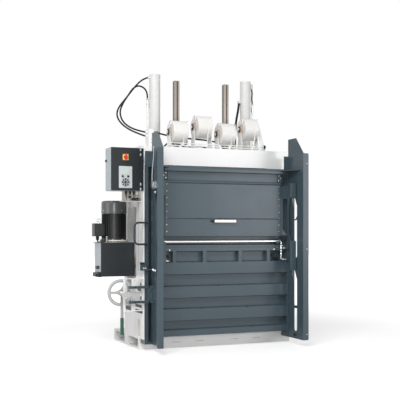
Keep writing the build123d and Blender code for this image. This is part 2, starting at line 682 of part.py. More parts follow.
# Power pack
def oil_tank():
    body = block(TANK_X0, -BODY_HALF_W, TANK_Y0, TANK_Y1, TANK_Z0, TANK_Z1 - 12)
    body = fillet(body.edges().filter_by(Axis.Z), 8)
    lid = block(TANK_X0 - 4, -BODY_HALF_W, TANK_Y0 - 4, TANK_Y1 + 4, TANK_Z1 - 13, TANK_Z1)
    body += fillet(lid.edges().filter_by(Axis.Z), 10)
    body += rod_z(TANK_X0 + 45, TANK_Y0 + 45, TANK_Z1 - 1, TANK_Z1 + 30, 24)
    body += rod_x(TANK_X0 - 22, TANK_X0 + 1, TANK_Y0 + 150, TANK_Z0 + 24, 14)
    return body


def motor_body():
    body = rod_z(MOTOR_X, MOTOR_Y, MOTOR_Z0, MOTOR_Z1, MOTOR_R)
    fin = block(MOTOR_R - 3, FIN_R, -1.8, 1.8, MOTOR_Z0 + 26, MOTOR_Z1 - 14)
    for index in range(FIN_COUNT):
        body += Pos(MOTOR_X, MOTOR_Y, 0) * Rot(0, 0, 360 * (index + 0.5) / FIN_COUNT) * fin
    body += rod_z(MOTOR_X, MOTOR_Y, MOTOR_Z0, MOTOR_Z0 + 20, FIN_R)
    body += rod_z(MOTOR_X, MOTOR_Y, MOTOR_Z1 - 12, MOTOR_Z1, MOTOR_R + 8)
    body += block(MOTOR_X - FIN_R, MOTOR_X - MOTOR_R + 4, MOTOR_Y - 44, MOTOR_Y + 44, 1198, 1316)
    return body - rod_z(MOTOR_X, MOTOR_Y, MOTOR_Z1 - 40, MOTOR_Z1 + 1, SHAFT_R + 0.5)


def fan_cowl():
    """Pressed cowl with ring slots in its domed top."""
    outer, wall, dome = FIN_R + 3, 3, 24
    body = rod_z(MOTOR_X, MOTOR_Y, MOTOR_Z1 - 10, COWL_TOP, outer)
    body = fillet(body.faces().sort_by(Axis.Z)[-1].edges(), dome)
    cavity = rod_z(MOTOR_X, MOTOR_Y, MOTOR_Z1 - 11, COWL_TOP - wall, outer - wall)
    body -= fillet(cavity.faces().sort_by(Axis.Z)[-1].edges(), dome - wall)
    for radius in (38, 60, 82, 104):
        ring = rod_z(MOTOR_X, MOTOR_Y, COWL_TOP - wall - 1, COWL_TOP + 1, radius + 5)
        ring -= rod_z(MOTOR_X, MOTOR_Y, COWL_TOP - wall - 2, COWL_TOP + 2, radius - 5)
        for angle in range(0, 180, 45):
            spoke = Rot(0, 0, angle) * Box(300, 9, 20)
            ring -= Pos(MOTOR_X, MOTOR_Y, COWL_TOP) * spoke
        body -= ring
    for index in range(4):
        lug = block(MOTOR_R + 8, outer - 1, -8, 8, MOTOR_Z1 - 10, MOTOR_Z1 - 4)
        body += Pos(MOTOR_X, MOTOR_Y, 0) * Rot(0, 0, 90 * index) * lug
    return body


def fan():
    """Fan with the end of the motor shaft."""
    hub = rod_z(MOTOR_X, MOTOR_Y, MOTOR_Z1 + 14, MOTOR_Z1 + 58, 34)
    blade = Pos(70, 0, MOTOR_Z1 + 36) * Rot(28, 0, 0) * Box(82, 3, 42)
    for index in range(7):
        hub += Pos(MOTOR_X, MOTOR_Y, 0) * Rot(0, 0, 360 * index / 7) * blade
    return hub + rod_z(MOTOR_X, MOTOR_Y, MOTOR_Z1 - 39, MOTOR_Z1 + 64, SHAFT_R)


def terminal_box():
    body = block(MOTOR_X - FIN_R - 96, MOTOR_X - FIN_R, MOTOR_Y - 52, MOTOR_Y + 52, 1188, 1326)
    body = fillet(body.edges().filter_by(Axis.X), 8)
    return body + rod_z(MOTOR_X - FIN_R - 50, MOTOR_Y, 1160, 1189, 15)


def pump_flange():
    """Bell housing between the motor and the tank lid, with a bolt ring."""
    body = rod_z(MOTOR_X, MOTOR_Y, TANK_Z1, MOTOR_Z0 - 12, 92)
    body += rod_z(MOTOR_X, MOTOR_Y, MOTOR_Z0 - 12, MOTOR_Z0, 124)
    for index in range(8):
        bolt = Pos(112, 0, MOTOR_Z0 - 17) * extrude(RegularPolygon(8, 6), 5, both=True)
        body += Pos(MOTOR_X, MOTOR_Y, 0) * Rot(0, 0, 45 * index + 22.5) * bolt
    return body


def eye_bolt():
    x = MOTOR_X - FIN_R - 40
    ring = Pos(x, MOTOR_Y, 1326 + 34) * Rot(90, 0, 0) * Torus(17, 5)
    return ring + rod_z(x, MOTOR_Y, 1326, 1326 + 20, 9)


# Door: ribbed lower panel, posts, jambs and head
def rib(z0, z1):
    """Folded rib with sloping flanks, open at the back."""
    back = DOOR_FRONT + RIB_DEPTH
    outer = [(back, z0 - RIB_SLOPE), (DOOR_FRONT, z0), (DOOR_FRONT, z1), (back, z1 + RIB_SLOPE)]
    inner = [(back + 1, z0 + SHEET - RIB_SLOPE), (DOOR_FRONT + SHEET, z0 + SHEET),
             (DOOR_FRONT + SHEET, z1 - SHEET), (back + 1, z1 - SHEET + RIB_SLOPE)]
    return plate_yz(outer, -POST_IN, POST_IN) - plate_yz(inner, -POST_IN - 1, POST_IN + 1)


def door_panel():
    web_back = DOOR_FRONT + RIB_DEPTH
    body = block(-POST_IN, POST_IN, web_back, web_back + SHEET, DOOR_Z0 + 60, SILL_Z)
    body += block(-POST_IN, POST_IN, DOOR_BACK - SHEET, DOOR_BACK, DOOR_Z0 + 60, SILL_Z)
    body += block(-POST_IN, POST_IN, web_back, DOOR_BACK, SILL_Z - SHEET, SILL_Z)
    body += block(-POST_IN, POST_IN, web_back, DOOR_BACK, DOOR_Z0 + 60, DOOR_Z0 + 66)
    for z0, z1 in RIBS + (CAP_RIB,):
        body += rib(z0, z1)
    for x in POCKET_WEB_X:
        half = POCKET_WEB / 2
        body += block(x - half, x + half, DOOR_FRONT, web_back + 1, POCKET_Z0 - 1, POCKET_Z1 + 1)
    return body


def door_frame():
    """Two lipped posts, the two jambs beside the loading opening, and the head."""
    body = Part()
    for x0, x1 in sides(POST_IN, DOOR_HALF_W):
        post = hollow(x0, x1, DOOR_FRONT, DOOR_BACK, DOOR_Z0, DOOR_Z1, SHEET, "z")
        gap0, gap1 = (LIP_IN, LIP_OUT) if x0 > 0 else (-LIP_OUT, -LIP_IN)
        post -= block(gap0, gap1, DOOR_FRONT - 1, DOOR_FRONT + SHEET + 1, DOOR_Z0 + 20, DOOR_Z1 - 20)
        body += post
    for x0, x1 in sides(OPENING_HALF_W, POST_IN):
        body += hollow(x0, x1, JAMB_FRONT, DOOR_BACK, SILL_Z, OPENING_Z1, SHEET, "z")
    head = [(DOOR_FRONT, OPENING_Z1), (DOOR_FRONT, DOOR_Z1 - 28), (DOOR_FRONT + 32, DOOR_Z1), (DOOR_BACK, DOOR_Z1),
            (DOOR_BACK, OPENING_Z1)]
    body += plate_yz(head, -POST_IN, POST_IN)
    body -= block(-POST_IN + SHEET, POST_IN - SHEET, DOOR_FRONT + SHEET, DOOR_BACK - SHEET,
                  OPENING_Z1 + SHEET, DOOR_Z1 - 30)
    for z in HINGE_Z:
        body += knuckle_on_door(z)
        body -= rod_z(HINGE_X, HINGE_Y, z - KNUCKLE_H, z + KNUCKLE_H, HINGE_PIN_R + HINGE_FIT)
    return body


def knuckle_on_door(z):
    z0, z1 = z - KNUCKLE_H / 2, z + KNUCKLE_H / 2
    body = rod_z(HINGE_X, HINGE_Y, z0, z1, HINGE_R)
    return body + block(DOOR_HALF_W - 1, HINGE_X, HINGE_Y - HINGE_R, HINGE_Y - HINGE_R + 8, z0, z1)


def wing_outline():
    return [(DOOR_FRONT, WING_BOTTOM), (WING_FRONT, WING_BOTTOM), (WING_FRONT, WING_SHOULDER),
            (WING_TOP_FRONT, WING_TOP), (DOOR_FRONT, WING_TOP)]


def hook_slot(z0):
    """Guide slot whose upper end bends towards the door."""
    r = SLOT_W / 2
    top = z0 + SLOT_LENGTH
    bend1 = top - SLOT_HOOK_H
    bend0 = bend1 - SLOT_BEND_H
    x0, x1 = WING_X - 1, WING_X + WING_T + 1
    cut = slot_x(x0, x1, SLOT_Y, z0, bend0 + 2 * r, SLOT_W)
    cut += slot_x(x0, x1, SLOT_HOOK_Y, bend1 - 2 * r, top, SLOT_W)
    slant = [(SLOT_Y - r, bend0 + r), (SLOT_Y + r, bend0), (SLOT_HOOK_Y + r, bend1 - r), (SLOT_HOOK_Y - r, bend1)]
    return cut + plate_yz(slant, x0, x1)


def wing():
    """Slotted guide plate with its outward front flange, back flange and gusset."""
    body = plate_yz(wing_outline(), WING_X, WING_X + WING_T)
    flange = block(WING_X, WING_X + FLANGE_W, WING_FRONT, WING_FRONT + WING_T, WING_BOTTOM, WING_SHOULDER)
    corners = flange.edges().filter_by(Axis.Y).sort_by(Axis.X)[-2:]
    flange = fillet(corners, 14)
    for z in FLANGE_HOLE_Z:
        flange -= rod_y(WING_X + FLANGE_W - 18, WING_FRONT - 1, WING_FRONT + WING_T + 1, z, 6)
    body += flange
    body += block(WING_X - 54, DOOR_HALF_W, DOOR_FRONT - WING_T, DOOR_FRONT, DOOR_Z1 - 20, POST_TOP)
    gusset = [(WING_X + 1, DOOR_FRONT), (WING_X + 1, -416), (WING_X - 10, -416), (OPENING_HALF_W, DOOR_FRONT - 6),
              (OPENING_HALF_W, DOOR_FRONT)]
    body += plate_xy(gusset, GUSSET_Z, GUSSET_Z + SHEET)
    for z0 in SLOT_BOTTOMS:
        body -= hook_slot(z0)
    body += rod_x(WING_X - 14, WING_X + 1, SLOT_Y - 12, 118, 15)
    return body


def slot_bridge():
    """Strap across the lower slot, on the outer face of the right wing."""
    x0 = WING_X + WING_T
    body = block(x0 + 20, x0 + 26, SLOT_Y - 46, SLOT_HOOK_Y + 8, 400, 430)
    for y in (SLOT_Y - 46, SLOT_HOOK_Y + 2):
        body += block(x0, x0 + 21, y, y + 6, 400, 430)
    return body


def door_handle():
    """Bent tube handle that reaches from the front of the left post to the side."""
    y0, y1 = DOOR_FRONT, DOOR_FRONT - 26
    x0, x1 = -DOOR_HALF_W + 13, -DOOR_HALF_W - 123
    z0, z1 = HANDLE_TUBE_Z
    path = FilletPolyline((x0, y0, z0), (x0, y1, z0), (x1, y1, z0), (x1, y1, z1), (x0, y1, z1), (x0, y0, z1),
                          radius=[13, 46, 46, 13])
    return sweep(Plane(origin=(x0, y0, z0), z_dir=(0, -1, 0)) * Circle(HANDLE_TUBE_R), path=path)


def door_prongs():
    """Two locking arms joined by a block, bolted to the front of the left post."""
    front = DOOR_FRONT - PRONG_T
    body = Part()
    for z in PRONG_Z:
        bar = block(PRONG_TIP, PRONG_ROOT, front, DOOR_FRONT, z - PRONG_T / 2, z + PRONG_T / 2)
        tip = bar.edges().filter_by(Axis.Z).sort_by(Axis.X)[:2]
        body += chamfer(tip, 6)
    body += block(PRONG_ROOT - 59, PRONG_ROOT, front + 6, DOOR_FRONT, PRONG_Z[0], PRONG_Z[1])
    body += block(PRONG_ROOT - 8, PRONG_ROOT, front - 70, front + 7, PRONG_Z[0] + 20, PRONG_Z[1] - 20)
    return body


# Loading flap
def flap():
    """Folded sheet with a rounded bead, and a set-back sheet above it that covers the top of the opening."""
    face = block(-FLAP_HALF_W, FLAP_HALF_W, FLAP_FRONT, FLAP_FRONT + SHEET, FLAP_Z0, BEAD_TOP - 12)
    foot = block(-FLAP_HALF_W, FLAP_HALF_W, FLAP_FRONT, FLAP_BACK, FLAP_Z0, FLAP_Z0 + SHEET)
    bead_r = (BEAD_TOP - FLAP_Z1) / 2
    bead_z = FLAP_Z1 + bead_r
    bead = rod_x(-FLAP_HALF_W, FLAP_HALF_W, FLAP_FRONT + 2, bead_z, bead_r)
    bead -= rod_x(-FLAP_HALF_W - 1, FLAP_HALF_W + 1, FLAP_FRONT + 2, bead_z, bead_r - 4)
    half = OPENING_HALF_W + 45
    upper = block(-half, half, FLAP_BACK - SHEET, FLAP_BACK, bead_z, FLAP_TOP)
    return face + foot + bead + upper


def flap_side():
    """Set-back web with a window, C-shaped side plate, two front pads and two guide pins."""
    web_y = FLAP_FRONT + SHEET
    body = block(FLAP_HALF_W - 34, ARM_X + SHEET, web_y, web_y + SHEET, FLAP_Z0 + SHEET, FLAP_Z1)
    outline = [(web_y + SHEET, FLAP_Z0 + SHEET), (web_y + SHEET, ARM_TOP), (ARM_FRONT, ARM_TOP), (ARM_FRONT, ARM_LOW),
               (ARM_FRONT + 110, ARM_LOW), (ARM_FRONT + 110, FLAP_Z0 - 60)]
    side = plate_yz(outline, ARM_X, ARM_X + SHEET)
    low, middle, high = ARM_OPEN_Z
    strip = FLAP_BACK - SHEET - ARM_STRIP
    notch = [(ARM_FRONT - 1, low), (strip - 34, low), (strip, middle), (strip, high), (ARM_FRONT - 1, high)]
    body += side - plate_yz(notch, ARM_X - 1, ARM_X + SHEET + 1)
    window = [(FLAP_HALF_W + 32, high), (ARM_X - 4, high), (ARM_X - 4, middle), (ARM_X - 20, middle),
              (FLAP_HALF_W + 32, middle + 50)]
    body -= plate_xz(window, web_y - 1, web_y + SHEET + 1)
    for z0, z1 in ((ARM_PAD_Z, ARM_TOP), (ARM_LOW, ARM_LOW + 315)):
        body += block(PAD_X, PAD_OUT, ARM_FRONT, ARM_FRONT + SHEET, z0, z1)
    for z in GUIDE_PIN_Z:
        body += rod_x(ARM_X, WING_X + WING_T + 12, GUIDE_PIN_Y, z, GUIDE_PIN_R)
        for x in (WING_X - COLLAR_GAP - 6, WING_X + WING_T + COLLAR_GAP):
            body += rod_x(x, x + 6, GUIDE_PIN_Y, z, 24)
    return body


def flap_handle():
    """Flat grip rail on four tabs."""
    y0 = FLAP_FRONT - 30
    rail = block(-HANDLE_HALF, HANDLE_HALF, y0, y0 + 6, HANDLE_Z - 14, HANDLE_Z + 14)
    rail = fillet(rail.edges().filter_by(Axis.Y), 8)
    for x in (-80, 40):
        for z in (HANDLE_Z - 9, HANDLE_Z + 5):
            rail += block(x - 6, x + 6, y0 + 5, FLAP_FRONT, z, z + 4)
    return rail


def locking_bar():
    """Polished bar across the door with two crank rods that end in balls, the left one on a collar."""
    body = rod_x(-LOCK_BAR_HALF, LOCK_BAR_HALF, LOCK_BAR_Y, LOCK_BAR_Z, LOCK_BAR_R)
    drop = LOCK_BAR_Z - CRANK_DROP
    right, left = LOCK_BAR_HALF + 12, LEFT_CRANK_IN - LOCK_BAR_HALF
    path = FilletPolyline((LOCK_BAR_HALF - 4, LOCK_BAR_Y, LOCK_BAR_Z), (right, LOCK_BAR_Y, LOCK_BAR_Z),
                          (right, LOCK_BAR_Y, drop), radius=10)
    start = Plane(origin=(LOCK_BAR_HALF - 4, LOCK_BAR_Y, LOCK_BAR_Z), z_dir=(1, 0, 0))
    body += sweep(start * Circle(CRANK_R), path=path)
    body += rod_x(left - 9, left + 9, LOCK_BAR_Y, LOCK_BAR_Z, LOCK_BAR_R + 3)
    body += rod_z(left, LOCK_BAR_Y, drop, LOCK_BAR_Z, CRANK_R)
    for x in (left, right):
        body += Pos(x, LOCK_BAR_Y, drop) * Sphere(12)
    return body


def bar_bearings():
    """Lugs on the door that carry the locking bar."""
    body = Part()
    lug_back = DOOR_FRONT + RIB_DEPTH
    for x in BEARING_X:
        lug = block(x - 5, x + 5, LOCK_BAR_Y - 16, lug_back, LOCK_BAR_Z - 22, LOCK_BAR_Z + 22)
        lug -= rod_x(x - 6, x + 6, LOCK_BAR_Y, LOCK_BAR_Z, LOCK_BAR_R + 0.4)
        body += lug
    return body


def spring_bolt():
    """Sprung index bolt below the right end of the bar."""
    return rod_x(BOLT_X, BOLT_X + 55, BOLT_Y, BOLT_Z, 6) + rod_x(BOLT_X - 14, BOLT_X, BOLT_Y, BOLT_Z, 11)


def bolt_housing():
    housing = block(BOLT_X + 8, BOLT_X + 52, DOOR_FRONT - 24, DOOR_FRONT, BOLT_Z - 13, BOLT_Z + 13)
    return housing - rod_x(BOLT_X, BOLT_X + 80, BOLT_Y, BOLT_Z, 6.4)


# Lock on the left of the machine
def lock_cage():
    """Two upright bars between plates, with the bearing block of the spindle."""
    inner, outer = -BODY_HALF_W, CAGE_X0
    low, high = LOCK_Z - CAGE_BLOCK_HALF, LOCK_Z + CAGE_BLOCK_HALF
    body = block(outer, inner, CAGE_Y0, CAGE_Y1, CAGE_Z1, CAGE_Z1 + 10)
    body += block(outer, inner, CAGE_Y0, CAGE_Y1, CAGE_Z0 - 10, CAGE_Z0)
    for x0, x1 in CAGE_BARS:
        body += block(x0, x1, CAGE_Y0, CAGE_Y1, CAGE_Z0 - 1, CAGE_Z1 + 1)
    body += block(CAGE_BARS[0][1] - 1, CAGE_BARS[1][0] + 1, CAGE_Y0 + 10, CAGE_Y1, low, high)
    body += block(CAGE_BARS[1][0], inner, CAGE_Y1 - 8, CAGE_Y1, low, high)
    body += block(-BODY_HALF_W - 8, -BODY_HALF_W, CAGE_Y1 - 8, POST_D, CAGE_Z0 - 5, CAGE_Z1 + 5)
    body += rod_y(LOCK_X, CAGE_Y1 - 1, LEVER_Y - 15, LOCK_Z, 20)
    return body - rod_y(LOCK_X, CAGE_Y0 - 1, LEVER_Y, LOCK_Z, SPINDLE_R + SPINDLE_FIT)


def lock_spindle():
    """Threaded spindle with a collar behind the handwheel."""
    spindle = rod_y(LOCK_X, HEAD_BACK, WHEEL_Y + 60, LOCK_Z, SPINDLE_R)
    return spindle + rod_y(LOCK_X, WHEEL_Y + 27, WHEEL_Y + 38, LOCK_Z, 20)


def lock_head():
    """T-shaped head; it lies level here and turns upright to catch the two arms."""
    head = block(LOCK_X - HEAD_HALF, LOCK_X + HEAD_HALF, HEAD_BACK - 26, HEAD_BACK, LOCK_Z - 20, LOCK_Z + 20)
    head = fillet(head.edges().filter_by(Axis.Y), 10)
    return head + rod_y(LOCK_X, HEAD_BACK - 34, HEAD_BACK - 25, LOCK_Z, 14)


def handwheel():
    body = Pos(LOCK_X, WHEEL_Y, LOCK_Z) * Rot(90, 0, 0) * Torus(WHEEL_R - WHEEL_TUBE_R, WHEEL_TUBE_R)
    body += rod_y(LOCK_X, LEVER_Y + 15, WHEEL_Y + 26, LOCK_Z, 30)
    spoke = Pos(0, 0, (WHEEL_R - WHEEL_TUBE_R) / 2) * Box(22, 12, WHEEL_R - WHEEL_TUBE_R)
    for angle in (30, 150, 270):
        body += Pos(LOCK_X, WHEEL_Y, LOCK_Z) * Rot(0, angle, 0) * spoke
    return body - rod_y(LOCK_X, LEVER_Y, WHEEL_Y + 30, LOCK_Z, SPINDLE_R + SPINDLE_FIT)


def ratchet_lever():
    """Eye on the spindle, with a flat bar that hangs down."""
    body = rod_y(LOCK_X, LEVER_Y - 14, LEVER_Y + 14, LOCK_Z, 32)
    bar = plate_xz([(LOCK_X - 17, LOCK_Z - 20), (LOCK_X + 17, LOCK_Z - 20), (LOCK_X + 14, LOCK_Z - LEVER_LENGTH),
                    (LOCK_X - 14, LOCK_Z - LEVER_LENGTH)], LEVER_Y - 5, LEVER_Y + 5)
    body += bar
    return body - rod_y(LOCK_X, LEVER_Y - 15, LEVER_Y + 15, LOCK_Z, SPINDLE_R + SPINDLE_FIT)


def lever_grip():
    top = LOCK_Z - LEVER_GRIP_DROP
    bottom = LOCK_Z - LEVER_LENGTH - 8
    grip = rod_z(LOCK_X, LEVER_Y, bottom, top, 19)
    grip = fillet(grip.edges().filter_by(GeomType.CIRCLE), 6)
    return grip - block(LOCK_X - 18, LOCK_X + 18, LEVER_Y - 5, LEVER_Y + 5, LOCK_Z - LEVER_LENGTH, top + 1)


def side_latch():
    """Catch over the edge of the left post, with a slanting rod that ends in a knob."""
    front = DOOR_FRONT - 30
    z0, z1 = SIDE_LATCH_Z
    body = block(-DOOR_HALF_W - 53, -DOOR_HALF_W + 12, front, DOOR_FRONT, z0, z1)
    start = Vector(-DOOR_HALF_W + 4, front + 4, z0 + 12)
    end = Vector(-WING_X - WING_T - 22, front - 82, z0 + 10)
    slant = Plane(origin=start, z_dir=end - start)
    body += extrude(slant * Circle(5), amount=(end - start).length)
    return body + Pos(*end) * Sphere(9)


def limit_switch():
    """Switch box and roller on the outer face of the left wing."""
    x = -WING_X - WING_T
    z0, z1 = LIMIT_BOX_Z
    body = block(x - 26, x, -218, -182, z0, z1)
    body += rod_x(x - 20, x - 6, -200, z0 - 8, 12)
    return body + block(x - 10, x, -230, -214, CLIP_Z, CLIP_Z + 14)


def main():
    save("base_frame", base_frame())
    save("side_frame_left", mirror_x(side_frame()) + front_cheek() - side_pocket())
    save("side_frame_right", side_frame(), frame_hinges())
    save("chamber_liner", chamber_liner())
    save("chamber_floor", chamber_floor())
    save("top_beam", top_beam())
    save("pole_guides", *pole_guides())
    save("cylinder_left", cylinder_barrel(-1))
    save("cylinder_right", cylinder_barrel(1))
    save("piston_rods", *piston_rods())
    save("guide_poles", *guide_poles())
    save("platen", platen())
    save("hydraulic_pipes", *hydraulic_pipes())
    save("hose_bulkhead", hose_bulkhead())
    save("hose_outer", cord_tube(HOSE_OUTER, HOSE_D))
    save("hose_inner", cord_tube(HOSE_INNER, HOSE_D))
    save("hose_right", cord_tube(HOSE_RIGHT, HOSE_D))
    save("hose_cross", cord_tube(HOSE_CROSS, CROSS_HOSE_D))
    save("switch_cable", cord_tube(SWITCH_CABLE, CABLE_D))
    for index, x, z in reel_centres():
        save(f"strap_reel_{index}", *strap_reel(x, z))
    save("reel_stands", *[reel_stand(x, z) for _, x, z in reel_centres()], reel_guides())
    save("cabinet_box", cabinet_box())
    save("cabinet_door", cabinet_door())
    save("cabinet_latch", cabinet_latch())
    save("keypad_plate", keypad_plate(), display())
    for name, x, z, r in KEYS:
        save(name, key_cap(x, z, r))
    save("key_pad", key_pad())
    save("switch_plate", switch_plate())
    save("switch_knob", switch_knob())
    save("cable_glands", *cable_glands())
    save("oil_tank", oil_tank())
    save("pump_flange", pump_flange())
    save("motor_body", motor_body())
    save("terminal_box", terminal_box(), eye_bolt())
    save("fan_cowl", fan_cowl())
    save("fan", fan())
    save("door_panel", door_panel(), bar_bearings(), bolt_housing())
    save("door_frame", door_frame())
    save("wing_right", wing() + slot_bridge())
    save("wing_left", mirror_x(wing()))
    save("door_handle", door_handle())
    save("door_prongs", door_prongs())
    save("side_latch", side_latch())
    save("limit_switch", limit_switch())
    save("flap", flap())
    save("flap_sides", flap_side(), mirror_x(flap_side()))
    save("flap_handle", flap_handle())
    save("locking_bar", locking_bar())
    save("spring_bolt", spring_bolt())
    save("lock_cage", lock_cage())
    save("lock_spindle", lock_spindle())
    save("lock_head", lock_head())
    save("handwheel", handwheel())
    save("ratchet_lever", ratchet_lever())
    save("lever_grip", lever_grip())


main()
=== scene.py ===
import json
import math

import bmesh
import bpy
from mathutils import Matrix, Vector


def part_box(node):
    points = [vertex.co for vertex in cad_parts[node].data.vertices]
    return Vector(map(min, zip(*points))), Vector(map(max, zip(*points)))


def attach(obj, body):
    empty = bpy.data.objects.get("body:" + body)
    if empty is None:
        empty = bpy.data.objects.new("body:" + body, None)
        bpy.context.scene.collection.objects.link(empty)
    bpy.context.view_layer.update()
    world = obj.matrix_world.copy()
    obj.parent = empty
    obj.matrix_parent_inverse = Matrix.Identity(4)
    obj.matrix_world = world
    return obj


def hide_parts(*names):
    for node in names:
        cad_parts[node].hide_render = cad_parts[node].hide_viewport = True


MM = 0.001
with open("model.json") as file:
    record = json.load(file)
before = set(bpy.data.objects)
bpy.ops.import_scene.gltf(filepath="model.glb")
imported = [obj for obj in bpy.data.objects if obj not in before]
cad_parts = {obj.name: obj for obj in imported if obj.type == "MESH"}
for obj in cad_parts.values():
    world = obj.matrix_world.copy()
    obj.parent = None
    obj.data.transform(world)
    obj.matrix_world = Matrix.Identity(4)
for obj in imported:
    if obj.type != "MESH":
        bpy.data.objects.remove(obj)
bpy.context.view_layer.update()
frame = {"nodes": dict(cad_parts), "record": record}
nodes = frame["nodes"]

# Places on the CAD model that several pieces share, in millimetres
DOOR_FRONT = -150
POST_X = 783
FLAP_FRONT = -196
CABINET_HINGE = (-929, -161)
PAD_CENTRE = (-1091, 1742)
SWITCH_CENTRE = (-1089, 1998)
TANK_TOP = 1123
MOTOR_AXIS = (-1073, 309)
REELS = ((-422, 2312), (-141, 2378), (141, 2312), (422, 2378))
REEL_Y = 100
BEAM_TOP = 2141
HOSE_BRACKET = (-742, 160, 2305)
PRESS_Y = 455
CYLINDER_X = 559
POLE_X = 304
WHEEL = (-1043, 172, 592)
RIM_RADIUS = 125.5
RIM_HALF_W = 18.5
RIM_HALF_T = 11
SIDES = ((-1, "left"), (1, "right"))


# Materials
def new_material(name):
    material = bpy.data.materials.new(name)
    material.use_nodes = True
    return material, material.node_tree.nodes, material.node_tree.links


def noise(tree_nodes, links, scale, detail, stretch):
    """Noise in object coordinates, stretched where stretch isn't even."""
    coords = tree_nodes.new("ShaderNodeTexCoord")
    mapping = tree_nodes.new("ShaderNodeMapping")
    mapping.inputs["Scale"].default_value = stretch
    texture = tree_nodes.new("ShaderNodeTexNoise")
    texture.inputs["Scale"].default_value = scale
    texture.inputs["Detail"].default_value = detail
    links.new(coords.outputs["Object"], mapping.inputs["Vector"])
    links.new(mapping.outputs["Vector"], texture.inputs["Vector"])
    return texture


def surface(name, color, roughness, metallic=0.0, coat=0.0, bump=0.0, bump_scale=60.0, spread=0.06,
            stretch=(1, 1, 1), specular=0.5):
    """Plain finish whose roughness varies a little, with an optional fine bump."""
    material, tree_nodes, links = new_material(name)
    shader = tree_nodes["Principled BSDF"]
    shader.inputs["Base Color"].default_value = (*color, 1)
    shader.inputs["Roughness"].default_value = roughness
    shader.inputs["Metallic"].default_value = metallic
    shader.inputs["Coat Weight"].default_value = coat
    shader.inputs["Coat Roughness"].default_value = 0.12
    shader.inputs["Specular IOR Level"].default_value = specular
    if spread:
        texture = noise(tree_nodes, links, 7.0, 5.0, stretch)
        span = tree_nodes.new("ShaderNodeMapRange")
        span.inputs["To Min"].default_value = max(roughness - spread, 0.02)
        span.inputs["To Max"].default_value = min(roughness + spread, 1.0)
        links.new(texture.outputs["Fac"], span.inputs["Value"])
        links.new(span.outputs["Result"], shader.inputs["Roughness"])
    if bump:
        fine = noise(tree_nodes, links, bump_scale, 3.0, stretch)
        relief = tree_nodes.new("ShaderNodeBump")
        relief.inputs["Strength"].default_value = bump
        relief.inputs["Distance"].default_value = MM
        links.new(fine.outputs["Fac"], relief.inputs["Height"])
        links.new(relief.outputs["Normal"], shader.inputs["Normal"])
    return material


WHITE = surface("white_enamel", (0.78, 0.78, 0.775), 0.32, coat=0.3, bump=0.05, bump_scale=300)
DARK = surface("blue_grey_enamel", (0.048, 0.073, 0.089), 0.34, coat=0.1, bump=0.08, bump_scale=350,
               specular=0.35)
DARK_INNER = surface("blue_grey_shade", (0.018, 0.024, 0.029), 0.50, bump=0.08, bump_scale=350)
CHARCOAL = surface("charcoal_enamel", (0.0095, 0.0125, 0.0155), 0.42, bump=0.10, bump_scale=400,
                   specular=0.35)
PALE = surface("pale_grey_enamel", (0.38, 0.43, 0.46), 0.40, coat=0.1, bump=0.08, bump_scale=400)
MOTOR = surface("motor_enamel", (0.013, 0.0135, 0.014), 0.38, bump=0.15, bump_scale=220, specular=0.4)
COWL = surface("cowl_enamel", (0.066, 0.070, 0.075), 0.32, coat=0.25, bump=0.1, bump_scale=300)
CHROME = surface("polished_steel", (0.80, 0.80, 0.80), 0.14, metallic=1.0, spread=0.03)
STEEL = surface("bare_steel", (0.52, 0.51, 0.50), 0.34, metallic=1.0, bump=0.05, bump_scale=200)
STAINLESS = surface("ground_stainless", (0.30, 0.265, 0.235), 0.34, metallic=1.0, bump=0.12, bump_scale=120,
                    stretch=(6, 6, 0.3))
BRASS = surface("brass", (0.62, 0.46, 0.26), 0.32, metallic=1.0)
ZINC = surface("zinc_plate", (0.66, 0.66, 0.66), 0.30, metallic=1.0, bump=0.05, bump_scale=250)
CAST = surface("cast_grey", (0.47, 0.475, 0.47), 0.50, bump=0.35, bump_scale=160)
BLACK = surface("black_plastic", (0.012, 0.012, 0.013), 0.42, bump=0.1, bump_scale=400, specular=0.3)
RUBBER = surface("hose_rubber", (0.012, 0.012, 0.013), 0.48, bump=0.2, bump_scale=500, specular=0.15)
KEYPAD = surface("keypad_film", (0.50, 0.53, 0.54), 0.38, spread=0.03)
KEY = surface("key_rubber", (0.045, 0.050, 0.055), 0.45, spread=0.03)
LCD = surface("display_glass", (0.50, 0.58, 0.52), 0.12, spread=0.0, coat=0.5)
RED = surface("red_plastic", (0.55, 0.018, 0.020), 0.28, coat=0.3)
RED_RING = surface("red_ring", (0.60, 0.10, 0.05), 0.40)
YELLOW = surface("yellow_plastic", (0.80, 0.50, 0.10), 0.38)
GREEN = surface("green_grip", (0.012, 0.085, 0.048), 0.45, bump=0.2, bump_scale=250)
STRAP = surface("strap_band", (0.74, 0.73, 0.71), 0.36, bump=0.10, bump_scale=160, stretch=(14, 1, 1))
CARD = surface("core_card", (0.55, 0.42, 0.33), 0.75, bump=0.3, bump_scale=120)
CABLE = surface("grey_cable", (0.48, 0.49, 0.50), 0.45)
GUIDE = surface("guide_plastic", (0.70, 0.70, 0.67), 0.50)
STRIPE = surface("pole_shade", (0.060, 0.055, 0.050), 0.38, metallic=0.6, stretch=(6, 6, 0.3))
BASE = surface("base_enamel", (0.80, 0.795, 0.785), 0.42, bump=0.05, bump_scale=300)
# Greyer copy of the white enamel for the cylinder barrels and caps: painted shade, as they wear the same
# white paint as the frame
BARREL = surface("barrel_white_painted_shade", (0.64, 0.64, 0.635), 0.30, coat=0.3, bump=0.04, bump_scale=300)
LINER = surface("liner_enamel", (0.84, 0.78, 0.71), 0.5, bump=0.05, bump_scale=300)
HANDLE = surface("handle_enamel", (0.022, 0.031, 0.038), 0.34, specular=0.4)
BRIGHT = surface("bright_zinc", (0.78, 0.78, 0.78), 0.26, metallic=0.35, spread=0.03)
WARM = surface("warm_enamel", (0.66, 0.62, 0.57), 0.45, bump=0.05, bump_scale=300)

